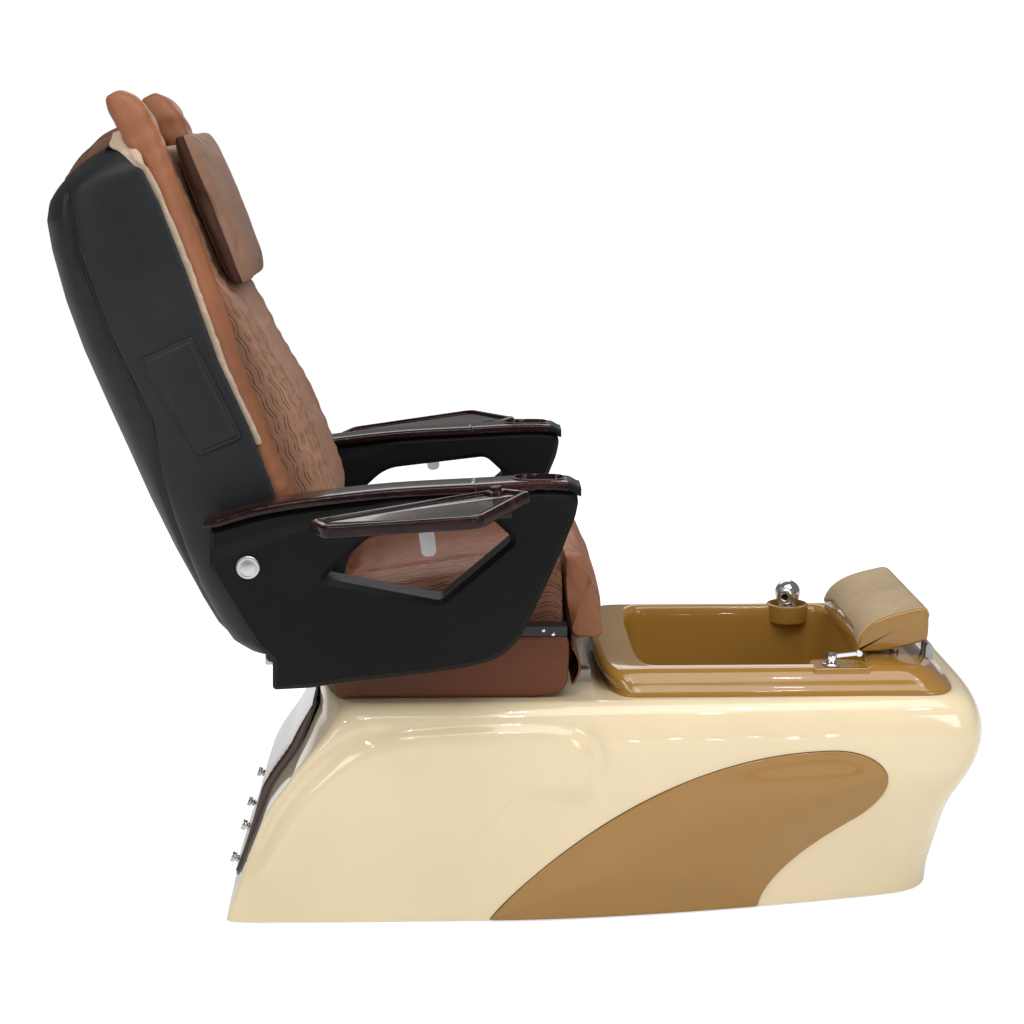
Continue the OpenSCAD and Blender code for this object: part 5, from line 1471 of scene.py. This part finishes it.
def halved(obj, y, keepOutside, side):
    # keeps the part of a plate on one side of an upright plane and closes the cut
    b = bmesh.new()
    b.from_mesh(obj.data)
    flip = 1 if keepOutside else -1
    cut = bmesh.ops.bisect_plane(b, geom=b.verts[:] + b.edges[:] + b.faces[:], plane_co=(0, side * y * mm, 0),
                                 plane_no=(0, side * flip, 0), clear_inner=True)
    edges = [e for e in cut["geom_cut"] if isinstance(e, bmesh.types.BMEdge)]
    bmesh.ops.triangle_fill(b, edges=edges, use_beauty=True)
    bmesh.ops.recalc_face_normals(b, faces=b.faces)
    b.to_mesh(obj.data)
    b.free()
    return obj


def armShape():
    top = [(x, float(armTop(x)) - deckHeight - arm["capThick"] - 0.4)
           for x in (94, 45, -68, -187, -300, -407)]
    radii = armRounds + [2, 20, 40, 60, 60, 60]
    return [(x, z + deckHeight) for x, z in rounded(armOutline + top, radii, 6)]


def makeArm(side, word):
    body = f"arm_{word.lower()}"
    hole = [(x, z + deckHeight) for x, z in rounded(armOpening, openingRounds, 6)]
    full = plate("armBoth", [armShape(), hole], arm["outer"] - arm["inner"], arm["bevel"], "black_plastic",
                 body, sidePlane(side * arm["middle"]), soft=24, steps=0)
    other = bpy.data.objects.new("armOther", full.data.copy())
    bpy.context.collection.objects.link(other)
    x0, z0 = arm["pivot"]
    for obj, outside, name in ((full, True, "Outer"), (other, False, "Inner")):
        halved(obj, arm["middle"] + (arm["cut"] if outside else -arm["cut"]), outside, side)
        sinkNeck(obj, side, outside)
        for x in arm["wells"]:
            drill(obj, (x, side * arm["middle"], 700), (x, side * arm["middle"], 760), arm["wellRadius"])
        drill(obj, (x0, side * 200, z0), (x0, side * 400, z0), arm["pivotHole"])
        obj.name = f"arm{name}{word}"
        dress(obj, "black_plastic", body, [f"arm_{name.lower()}_cover_{word.lower()}"], 24, armPlastic,
              ride=False)
        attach(obj, body)


def sinkNeck(obj, side, outside):
    # the band under the cap stands back from the panel's face behind a sloped ledge
    face = arm["outer"] if outside else arm["inner"]
    share = -1 if outside else 0.5
    b = bmesh.new()
    b.from_mesh(obj.data)
    for a, c in zip(arm["neck"][:-1], arm["neck"][1:]):
        slope = Vector((-(c[1] - a[1]), 0, c[0] - a[0])).normalized()
        for shift in (0, arm["ledgeTall"]):
            where = Vector((a[0], 0, a[1])) * mm + slope * shift * mm
            bmesh.ops.bisect_plane(b, geom=b.verts[:] + b.edges[:] + b.faces[:], plane_co=where,
                                   plane_no=slope)
    for v in b.verts:
        x, y, z = v.co.x / mm, abs(v.co.y) / mm, v.co.z / mm
        if abs(y - face) > arm["bevel"] + 0.5 or x > -200:
            continue
        above = z - float(along(arm["neck"], x))
        sink = arm["ledge"] * float(np.clip(above / arm["ledgeTall"], 0, 1)) * float(ease((-200 - x) / 60))
        v.co.y = side * (y + share * sink) * mm
    b.to_mesh(obj.data)
    b.free()


def capLoft(x0, x1, count, side):
    # glossy wooden top of the arm: rounded edges over a flat underside
    half, rear = arm["capHalf"], arm["capRear"]
    rows = []
    for t in np.linspace(0, 1, count):
        x = mix(x0, x1, t)
        top = float(armTop(x))
        low = top - arm["capThick"] + (6 * (1 - ease((x - rear) / 25)) if x < rear + 28 else 0)
        edge = [(-half + 2.0, low), (-half, low + 2), (-half, top - 5), (-half + 1.5, top - 1.8),
                (-half + 5.5, top - 0.2)]
        crown = [(y, top + 1.1 * (1 - (y / half) ** 2)) for y in np.linspace(-half + 10, half - 10, 9)]
        ring = np.array(edge + crown + [(-y, z) for y, z in edge[::-1]])
        rows.append(np.column_stack([np.full(len(ring), x), ring[:, 0] + side * arm["middle"], ring[:, 1]]))
    return skin(rows)


def makeCap(side, word):
    verts, faces = capLoft(arm["capRear"], arm["split"], 70, side)
    cap = piece(f"armCap{word}", verts, faces, "mahogany", f"arm_{word.lower()}",
                [f"arm_cap_{word.lower()}"], 30, ride=False)
    outward(cap)
    smooth(cap.data, 30)
    edgeBevel(cap, 1.2)
    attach(cap, f"arm_{word.lower()}")


def addBevel(obj, width, angle):
    weld = obj.modifiers.new("weld", "WELD")
    weld.merge_threshold = 1e-5
    bevel = obj.modifiers.new("bevel", "BEVEL")
    bevel.width = width * mm
    bevel.segments = 2
    bevel.limit_method = "ANGLE"
    bevel.angle_limit = math.radians(angle)
    bevel.harden_normals = True


def edgeBevel(obj, width, angle=35):
    addBevel(obj, width, angle)
    baked(obj)
    smooth(obj.data, angle)


cup = {"gap": 0.6, "up": 2, "rim": [(-7, -29), (77, -29), (77, 29), (-7, 29)], "rimRound": 28.9,
       "rimTall": 34, "well": [(-4, -26), (74, -26), (74, 26), (-4, 26)], "wellRound": 25.9, "wellDeep": 24,
       "plasticFrom": 0.078, "noseDrop": 0.007}


def makeCupHolder(side, word):
    body = f"arm_{word.lower()}"
    verts, faces = capLoft(arm["split"] + cup["gap"], arm["cupEnd"], 40, side)
    top = piece(f"cupHolder{word}", verts, faces, "mahogany", body, [f"cup_holder_{word.lower()}"], 30,
                ride=False)
    outward(top)
    height = float(armTop(45)) + cup["up"]
    y = side * arm["middle"]
    rim = plate("cupRim", [rounded(cup["rim"], cup["rimRound"], 14)], cup["rimTall"], 2.2, "mahogany", body,
                Matrix.Translation((0, y, height - cup["rimTall"] / 2)), soft=30)
    combine(top, rim, "UNION")
    well = plate("cupWell", [rounded(cup["well"], cup["wellRound"], 14)], 2 * cup["wellDeep"], 3.0,
                 "mahogany", body, Matrix.Translation((0, y, height)), soft=30)
    combine(top, well, "DIFFERENCE")
    top.name = f"cupHolder{word}"
    dress(top, "mahogany", body, [f"cup_holder_{word.lower()}"], 30, ride=False)
    edgeBevel(top, 1.4)
    # the nose ahead of the wood is the arm's own black plastic, rounded down
    for vertex in top.data.vertices:
        vertex.co.z -= cup["noseDrop"] * float(ease((vertex.co.x - 0.08) / 0.02)) ** 1.4
    top.data.materials.append(armPlastic)
    for polygon in top.data.polygons:
        if polygon.center.x > cup["plasticFrom"]:
            polygon.material_index = 1
    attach(top, body)


tray = {"place": (-35, 370, 732), "tilt": -6.15, "thick": 20, "recess": 5, "border": 12, "boss": 19.5,
        "hole": 5.6}
leaf = [  # centre, radius and the two end angles of each corner
    ((0, 0), 16, 250, 315), ((36, 42), 15, -40, 60), ((-42, 178), 26, 40, 105), ((-250, 128), 24, 105, 150),
    ((-272, 90), 17, 150, 250)]


def trayPlace(side):
    # the tray's own frame: its top in the plane z = 0
    x, y, z = tray["place"]
    return Matrix.Translation((x, side * y, z)) @ Matrix.Rotation(math.radians(tray["tilt"]), 4, "Y")


def leafOutline(d, side):
    points = []
    for (cx, cy), r, a0, a1 in leaf:
        for a in np.radians(np.linspace(a0, a1, 14)):
            points.append((cx + (r - d) * math.cos(a), side * (cy + (r - d) * math.sin(a))))
    return points


def circle(radius):
    return [(radius * math.cos(a), radius * math.sin(a)) for a in np.radians(np.arange(0, 360, 10))]


def makeTray(side, word):
    body = f"tray_{word.lower()}"
    place = trayPlace(side)
    slab = plate(f"tray{word}", [leafOutline(0, side)], tray["thick"], 4.5, "mahogany", body,
                 place @ Matrix.Translation((0, 0, -tray["thick"] / 2)), soft=30, steps=4)
    well = plate("well", [leafOutline(tray["border"], side)], 2 * tray["recess"], 1.6, "mahogany", body,
                 place, soft=30)
    keep = plate("keep", [circle(tray["boss"])], 40, 1.0, "mahogany", body, place, soft=30)
    combine(well, keep, "DIFFERENCE")
    combine(slab, well, "DIFFERENCE")
    centre, up = place @ Vector((0, 0, 0)), (place.to_3x3() @ Vector((0, 0, 1)))
    drill(slab, centre - up * 40, centre + up * 40, tray["hole"])
    dress(slab, "mahogany", body, [f"tray_{word.lower()}"], 30, ride=False)
    edgeBevel(slab, 0.9)
    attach(slab, body)


latch = {"place": (-115, 34, -20.4), "flap": [(-12, -66), (12, -66), (12, -4), (-12, -4)],
         "rounds": [11, 11, 3, 3], "thick": 3.5, "away": 4.75, "stem": 5, "stemTall": 50}


def makeLatch(side, word):
    body = f"latch_{word.lower()}"
    x, y, z = latch["place"]
    place = trayPlace(side) @ Matrix.Translation((x, side * y, z))
    flap = plate("latchFlap", [rounded(latch["flap"], latch["rounds"], 8)], latch["thick"], 0.9,
                 "clear_plastic", body, place @ sidePlane(side * latch["away"]), soft=35)
    stem = plate("latchStem", [circle(latch["stem"])], latch["stemTall"], 0.8, "clear_plastic", body,
                 place @ Matrix.Translation((0, 0, -latch["stemTall"] / 2)), soft=35)
    both = joinPieces(f"trayLatch{word}", [flap, stem])
    dress(both, "clear_plastic", body, [f"tray_latch_{word.lower()}"], 35, ride=False)
    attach(both, body)


armPlastic = mouldedPlastic("armPlastic", (0.0046, 0.0047, 0.0049), 0.46, 1.2, Specular_IOR_Level=0.17)
for armSide, armWord in ((-1, "Right"), (1, "Left")):
    makeArm(armSide, armWord)
    makeCap(armSide, armWord)
    makeCupHolder(armSide, armWord)
    makeTray(armSide, armWord)
    makeLatch(armSide, armWord)
print("arms made")


# copies of small units

def repeated(name, unit, places, aims, slotName, body, replaced=(), soft=40, size=1.0):
    # unit is a mesh in metres with its Z along each aim; places in mm
    group = bpy.data.node_groups.new(name, "GeometryNodeTree")
    face = group.interface
    face.new_socket("Geometry", in_out="INPUT", socket_type="NodeSocketGeometry")
    unitIn = face.new_socket("Unit", in_out="INPUT", socket_type="NodeSocketObject")
    sizeIn = face.new_socket("Size", in_out="INPUT", socket_type="NodeSocketFloat")
    face.new_socket("Geometry", in_out="OUTPUT", socket_type="NodeSocketGeometry")
    add = group.nodes.new
    start, end = add("NodeGroupInput"), add("NodeGroupOutput")
    info, spot = add("GeometryNodeObjectInfo"), add("GeometryNodeInstanceOnPoints")
    aim, turn = add("GeometryNodeInputNamedAttribute"), add("FunctionNodeAlignRotationToVector")
    real, paintIt = add("GeometryNodeRealizeInstances"), add("GeometryNodeSetMaterial")
    aim.data_type = "FLOAT_VECTOR"
    aim.inputs["Name"].default_value = "aim"
    turn.axis = "Z"
    paintIt.inputs["Material"].default_value = finishes[slotName]
    link = group.links.new
    link(start.outputs["Unit"], info.inputs["Object"])
    link(start.outputs["Geometry"], spot.inputs["Points"])
    link(info.outputs["Geometry"], spot.inputs["Instance"])
    link(aim.outputs["Attribute"], turn.inputs["Vector"])
    link(turn.outputs["Rotation"], spot.inputs["Rotation"])
    link(start.outputs["Size"], spot.inputs["Scale"])
    link(spot.outputs["Instances"], real.inputs["Geometry"])
    link(real.outputs["Geometry"], paintIt.inputs["Geometry"])
    link(paintIt.outputs["Geometry"], end.inputs[0])
    obj = meshObject(name, places, [])
    layer = obj.data.attributes.new("aim", "FLOAT_VECTOR", "POINT")
    layer.data.foreach_set("vector", np.array(aims, float).ravel())
    mod = obj.modifiers.new("copies", "NODES")
    mod.node_group = group
    mod[unitIn.identifier] = unit
    mod[sizeIn.identifier] = size
    obj.update_tag()
    baked(obj)
    bpy.data.objects.remove(unit)
    bpy.data.node_groups.remove(group)
    return dress(obj, slotName, body, replaced, soft)


def lathe(profile, sides=48):
    # turned about Z from (radius, height) points in mm
    a = np.radians(np.linspace(0, 360, sides, endpoint=False))
    verts, faces = skin([np.column_stack([r * np.cos(a), r * np.sin(a), np.full(sides, z)])
                         for r, z in profile])
    return outward(meshObject("turned", verts, faces))


def turned(name, profile, place, aim, slotName, body, replaced=(), soft=35, finish=None):
    obj = lathe(profile)
    rotate = Vector((0, 0, 1)).rotation_difference(Vector(aim)).to_matrix().to_4x4()
    obj.data.transform(Matrix.Translation(Vector(place) * mm) @ rotate)
    obj.name = name
    return dress(obj, slotName, body, replaced, soft, finish)


def roundedProfile(points, radius=0.6, steps=3):
    # open profile with its inner corners rounded
    p = [Vector(q) for q in points]
    out = [tuple(p[0])]
    for a, b, c in zip(p, p[1:], p[2:]):
        reach = min(radius, 0.45 * (a - b).length, 0.45 * (c - b).length)
        s, e = b + (a - b).normalized() * reach, b + (c - b).normalized() * reach
        for k in range(steps + 1):
            t = k / steps
            out.append(tuple(s * (1 - t) ** 2 + b * 2 * t * (1 - t) + e * t * t))
    return out + [tuple(p[-1])]


# footrest, drawn from the basin's front edge and the rim's height

footrest = {"half": 165, "around": 90, "top": [(-23, 7), (-23, 65), (43, 73), (79, 82)],
            "tip": [(86, 82.6), (91, 81.6), (96, 78), (99, 72), (101, 65)],
            "under": [(101, 65), (101.4, 45), (99.5, 27), (92, 22.5), (60, 13.5), (28, 7), (0, 5), (-15, 5),
                      (-22, 6)],
            "skin": 2.2, "edge": 6.0, "strip": 190, "points": 110}


def bezier(p, t):
    p, t = np.array(p, float), np.asarray(t, float)[:, None]
    return p[0] * (1 - t) ** 3 + 3 * p[1] * t * (1 - t) ** 2 + 3 * p[2] * t * t * (1 - t) + p[3] * t ** 3


def footrestOuter():
    line = np.vstack([bezier(footrest["top"], np.linspace(0, 1, 60)), footrest["tip"]])
    return spread(line, footrest["around"])


def footrestRing(closed, y):
    # the outline drawn in near the two ends
    past = np.clip((abs(y) - footrest["half"] + 10) / 10, 0, 1)
    d = footrest["edge"] * (1 - math.sqrt(max(0.0, 1 - past * past)))
    return shrunk(closed, d) if d > 0 else closed


def onFootrest(ring, y):
    return np.column_stack([ring[:, 0] + tub["front"], np.full(len(ring), y), ring[:, 1] + rimTop])


def makeFootrest():
    half, count = footrest["half"], footrest["points"]
    closed = np.vstack([footrestOuter(), throughPoints(footrest["under"], 60)[1:]])
    stops = np.concatenate([half - 12 * (1 - np.sin(np.radians(np.linspace(90, 0, 14)))),
                            np.linspace(half - 14, 0, 24)])
    rows = [onFootrest(footrestRing(closed, y), y) for y in np.concatenate([stops, -stops[-2::-1]])]
    verts, faces = skin(rows)
    shell = piece("footrestShell", verts, faces, "tan_gelcoat", "footrest", ["footrest_shell"], 40,
                  ride=False)
    outward(shell)
    smooth(shell.data, 40)
    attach(shell, "footrest")
    # ribbed cover laid over the top; its lower edge rises towards the middle
    rows, run = [], []
    stops = np.concatenate([np.linspace(half - 3.2, half - 14, 10), np.linspace(half - 16, 0, 46)])
    for y in np.concatenate([stops, -stops[-2::-1]]):
        start = mix(0.17, 0.075, ease((abs(y) - 90) / 75))
        line = spread(footrestRing(closed, y)[:footrest["around"]], 240)[int(240 * start):]
        line = spread(line, count)
        ahead = np.gradient(line, axis=0)
        out = np.stack([-ahead[:, 1], ahead[:, 0]], 1)
        out /= np.linalg.norm(out, axis=1)[:, None]
        share = np.linspace(0, 1, count)
        puff = footrest["skin"] * np.minimum(1, np.sin(np.pi * np.clip(share, 0.001, 0.999)) * 14) ** 0.5
        puff *= math.sqrt(np.clip((half - 3.0 - abs(y)) / 5, 0, 1))
        upper = line + out * (0.3 + puff)[:, None]
        lower = (line - out * 0.8)[::-1]
        rows.append(onFootrest(np.vstack([upper, lower]), y))
        run.append(np.concatenate([share, share[::-1]]) * footrest["strip"])
    verts, faces = skin(rows)
    cover = piece("footrestPad", verts, faces, "brown_leather", "footrest", ["footrest_cover"], 60,
                  ribbedCover, ride=False)
    outward(cover)
    lengthMarks(cover, np.concatenate(run), verts[:, 1])
    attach(cover, "footrest")


def ribbed(name, colour, pitch=0.0052):
    f = Finish(name, colour, 0.52, Specular_IOR_Level=0.35)
    rib = (f.attribute("run") * (2 * math.pi / pitch)).calc("SINE")
    dash = f.noise(1.0, 2, 0.5, where=f.stretched((500.0, 46.0, 500.0)))
    patch = f.noise(9.0, 4, 0.6)
    tone = f.blendColours(patch.between(0.3, 0.7), shade(colour, 0.9), shade(colour, 1.1))
    # painted shade: the rib valleys drawn darker, in broken dashes
    valleyShade = (1 - rib.between(-1.0, -0.3)) * dash.between(0.45, 0.62) * 0.4
    tone = f.blendColours(valleyShade, tone, shade(colour, 0.6))
    f.colour(tone)
    f.vary("Roughness", 0.46 + 0.12 * patch)
    f.height(rib * 0.35 + dash, 0.0005)
    return f.material


ribbedCover = ribbed("ribbedCover", (0.40, 0.285, 0.155))
makeFootrest()
print("footrest made")


# sprayer in its dock and the water valve

dock = {"place": (527, 226), "low": 372, "outer": 39, "shelf": 395, "radius": 33, "hole": 11, "ball": 24}
valvePad = {"line": [(497, -250), (592, -250), (592, -188), (497, -188)], "rounds": [3, 3, 16, 16],
            "thick": 30.6}
sprayer = {"aim": (-0.36, -0.90, -0.20), "up": 7.5}
valve = {"place": (530, -228), "up": 1.0}


def addDocks():
    basin = bpy.data.objects["footBasin"]
    thick = valvePad["thick"]
    pad = plate("valvePad", [rounded(valvePad["line"], valvePad["rounds"], 6)], thick, 4.5, "tan_gelcoat",
                "base", Matrix.Translation((0, 0, rimTop + 0.6 - thick / 2)), soft=36)
    combine(basin, pad, "UNION")
    x, y = dock["place"]
    low, high, outer, inner = dock["low"], rimTop + 1.6, dock["outer"], dock["radius"]
    stand = roundedProfile([(0, low), (outer, low), (outer, high), (0, high)], 3.5, 5)
    well = roundedProfile([(0, dock["shelf"]), (inner, dock["shelf"]), (inner + 1, 430), (0, 430)], 3, 5)
    for profile, operation in ((stand, "UNION"), (well, "DIFFERENCE")):
        tool = lathe(profile, 72)
        tool.data.transform(Matrix.Translation(Vector((x, y, 0)) * mm))
        combine(basin, tool, operation)
    drill(basin, (x, y, 340), (x, y, 420), dock["hole"])
    smooth(basin.data, 36)
    basin.data.materials.clear()
    basin.data.materials.append(finishes["tan_gelcoat"])


def makeSprayer():
    x, y = dock["place"]
    low = dock["shelf"]
    collar = [(8, low - 18), (10.4, low - 18), (10.4, low + 0.3), (30, low + 0.3), (30, low + 3.4),
              (24, low + 4.6), (17, low + 5), (16.4, low + 8), (8, low + 8), (8, low - 18)]
    turned("sprayerCollar", roundedProfile(collar, 0.8), (x, y, 0), (0, 0, 1), "chrome", "base",
           ["sprayer_collar"])
    centre = np.array([x, y, low + dock["ball"] + sprayer["up"]])
    aim = Vector(sprayer["aim"]).normalized()
    r = dock["ball"]
    ball = [(0, -r)] + [(r * math.sin(a), -r * math.cos(a)) for a in np.radians(np.linspace(8, 132, 26))]
    stem = [(0, -50), (7.4, -50), (7.4, -12), (9.5, -8), (9.5, 0), (0, 0)]
    parts = [turned("ball", ball + [(16.6, 15.4), (0, 15.4)], centre, aim, "chrome", "sprayer"),
             turned("stem", roundedProfile(stem, 1.5), centre, (0, 0, 1), "chrome", "sprayer")]
    head = joinPieces("sprayerHead", parts)
    dress(head, "chrome", "sprayer", ["sprayer_head"], 35)
    ring = [(6.2, 13), (6.2, 21.5), (7.4, 23.4), (10.5, 24.6), (14.5, 22.8), (17.4, 18.8), (17.9, 15.6),
            (16.0, 13.6)]
    turned("sprayerFace", ring, centre, aim, "chrome", "sprayer", soft=60, finish=satinMetal)
    nozzle = [(0, 16), (3.2, 16.4), (5.4, 17.6), (6.0, 21.0), (6.3, 21.4), (6.3, 13.5), (0, 13.5)]
    turned("sprayerNozzle", nozzle, centre, aim, "black_plastic", "sprayer")


def makeValve():
    z = rimTop + valve["up"]
    profile = [(0, z), (16, z), (16, z + 2.6), (14.6, z + 4), (4, z + 4), (4, z + 9), (0, z + 9)]
    turned("valveBase", roundedProfile(profile, 0.7), (*valve["place"], 0), (0, 0, 1), "chrome", "base",
           ["valve_base"])


satinMetal = metal("satinMetal", (0.72, 0.71, 0.69), 0.34)
addDocks()
makeSprayer()
makeValve()
print("sprayer and valve made")


# rear door, seal and thumb screws

door = {"low": 26, "high": 334, "half": 168, "corner": 14, "seal": 3, "gap": 0.3, "edge": 6, "crown": 15,
        "screws": [(y, z) for z in (46, 104) for y in (-150, 150)]}
knob = [(0, -4), (3, -4), (3, 1), (6.2, 1), (6.6, 5), (4.2, 5.4), (4.2, 6.6), (9, 6.8), (9.2, 9), (8.4, 9.6),
        (8.4, 11.2), (9.2, 11.8), (9, 14), (0, 14.4)]


def doorBulge(z):
    t = np.clip((z - door["low"]) / (door["high"] - door["low"]), 0, 1)
    return door["edge"] + door["crown"] * np.power(np.maximum(0, np.sin(np.pi * t ** 1.7)), 1.2)


def rearSheet(name, low, high, half, near, bulge, slotName, body, replaced, soft, finish):
    # sheet that follows the shell's leaning rear face
    corners = [(-half, low), (half, low), (half, high), (-half, high)]
    line = spread(rounded(corners, door["corner"], 8), 260, closed=True)

    def lay(flat, depth):
        x = np.array([rearX(h) for h in flat[:, 1]]) - near - depth
        return np.column_stack([x, flat[:, 0], flat[:, 1]])

    def deep(flat):
        return bulge(flat[:, 1]) * (1 - 0.2 * np.abs(flat[:, 0] / half) ** 6)

    rows = [lay(line, 0.0)]
    for inward, share in ((0.0, 0.55), (0.5, 0.8), (1.8, 0.95), (3.6, 1.0)):
        ring = shrunk(line, inward)
        rows.append(lay(ring, deep(ring) * share))
    verts, faces = skin(rows, caps=False)
    faces = list(faces)
    for ring, outerFace in ((shrunk(line, 3.6), True), (line, False)):
        flat, fill = filled(ring, 9)
        offset = len(verts)
        verts = np.vstack([verts, lay(flat, deep(flat) if outerFace else 0.0)])
        faces += [[i + offset for i in f] for f in fill]
    obj = piece(name, verts, faces, slotName, body, replaced, soft, finish, ride=False)
    outward(obj)
    smooth(obj.data, soft)
    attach(obj, body)
    return obj


def makeDoor():
    rearSheet("rearDoor", door["low"], door["high"], door["half"], 2 * door["gap"] + door["seal"],
              lambda z: doorBulge(z) - door["seal"], "door_brown", "door", ["rear_door"], 32, doorGloss)
    rearSheet("doorSeal", door["low"] - 4, door["high"] + 4, door["half"] + 5, door["gap"],
              lambda z: np.full(len(z), door["seal"]), "rubber", "base", ["door_seal"], 40, sealGrey)
    places, aims = [], []
    for y, z in door["screws"]:
        out = float(doorBulge(np.array([z]))[0] - door["seal"]) * 0.9
        places.append((rearX(z) - 2 * door["gap"] - door["seal"] - out - 0.5, y, z))
        aims.append((-1, 0, (rearX(z + 1) - rearX(z - 1)) / 2))
    knurl = lathe(roundedProfile(knob, 0.4, 2), 40)
    repeated("doorScrews", knurl, places, aims, "chrome", "door", replaced=["door_knobs"])


doorGloss = gelcoat("doorGloss", (0.062, 0.02, 0.0085))
sealGrey = mouldedPlastic("sealGrey", (0.09, 0.085, 0.075), 0.42)
makeDoor()
print("door made")


# arm bolts and screws

bolt = [(0, 249), (7.5, 249), (7.5, 350.4), (19, 350.4), (19, 353.2), (17.6, 354.8), (15, 355.1),
        (13.5, 354.4), (10, 354.9), (5, 355.8), (0, 356)]
railScrew = {"profile": [(0, -3), (3.4, -3), (3.4, 0.4), (2.9, 1.6), (1.2, 2.1), (0, 2.1)],
             "places": ((45, 479), (61, 472.5)), "y": 270.2}


def makeBolts():
    place = (arm["pivot"][0], 0, arm["pivot"][1])
    parts = [turned("bolt", roundedProfile(bolt, 0.5), place, (0, side, 0), "chrome", "carriage",
                    finish=satinMetal) for side in (-1, 1)]
    bolts = joinPieces("armBolts", parts)
    dress(bolts, "chrome", "carriage", ["arm_bolts"], 35, boltMetal)
    screw = lathe(roundedProfile(railScrew["profile"], 0.5, 3), 24)
    places = [(x, side * railScrew["y"], z) for side in (-1, 1) for x, z in railScrew["places"]]
    aims = [(0, side, 0) for side in (-1, -1, 1, 1)]
    repeated("railScrews", screw, places, aims, "chrome", "carriage")


boltMetal = metal("boltMetal", (0.62, 0.63, 0.64), 0.3, (1, 1, 1), 0.1)
makeBolts()
print("fasteners made")


# CAD nodes that stay

stays = {s["node"]: s["material_slot"] for s in frame["record"]["subparts"]}
# bevel widths
crisp = {"valve_turret": 0.6, "valve_lever": 0.7, "footrest_hinge": 0.7, "tray_hinge_right": 1.0,
         "tray_hinge_left": 1.0, "chassis": 1.0, "carriage_frame": 1.0, "slide_rails": 0.6, "runners": 0.6,
         "back_frame": 1.0, "seat_actuator": 0.8, "levelling_feet": 0.8}


def dressNodes():
    for node, obj in frame["nodes"].items():
        obj.data.materials.clear()
        obj.data.materials.append(finishes[stays[node]])
        if node in crisp:
            addBevel(obj, crisp[node], 40)


dressNodes()
print("CAD nodes dressed")
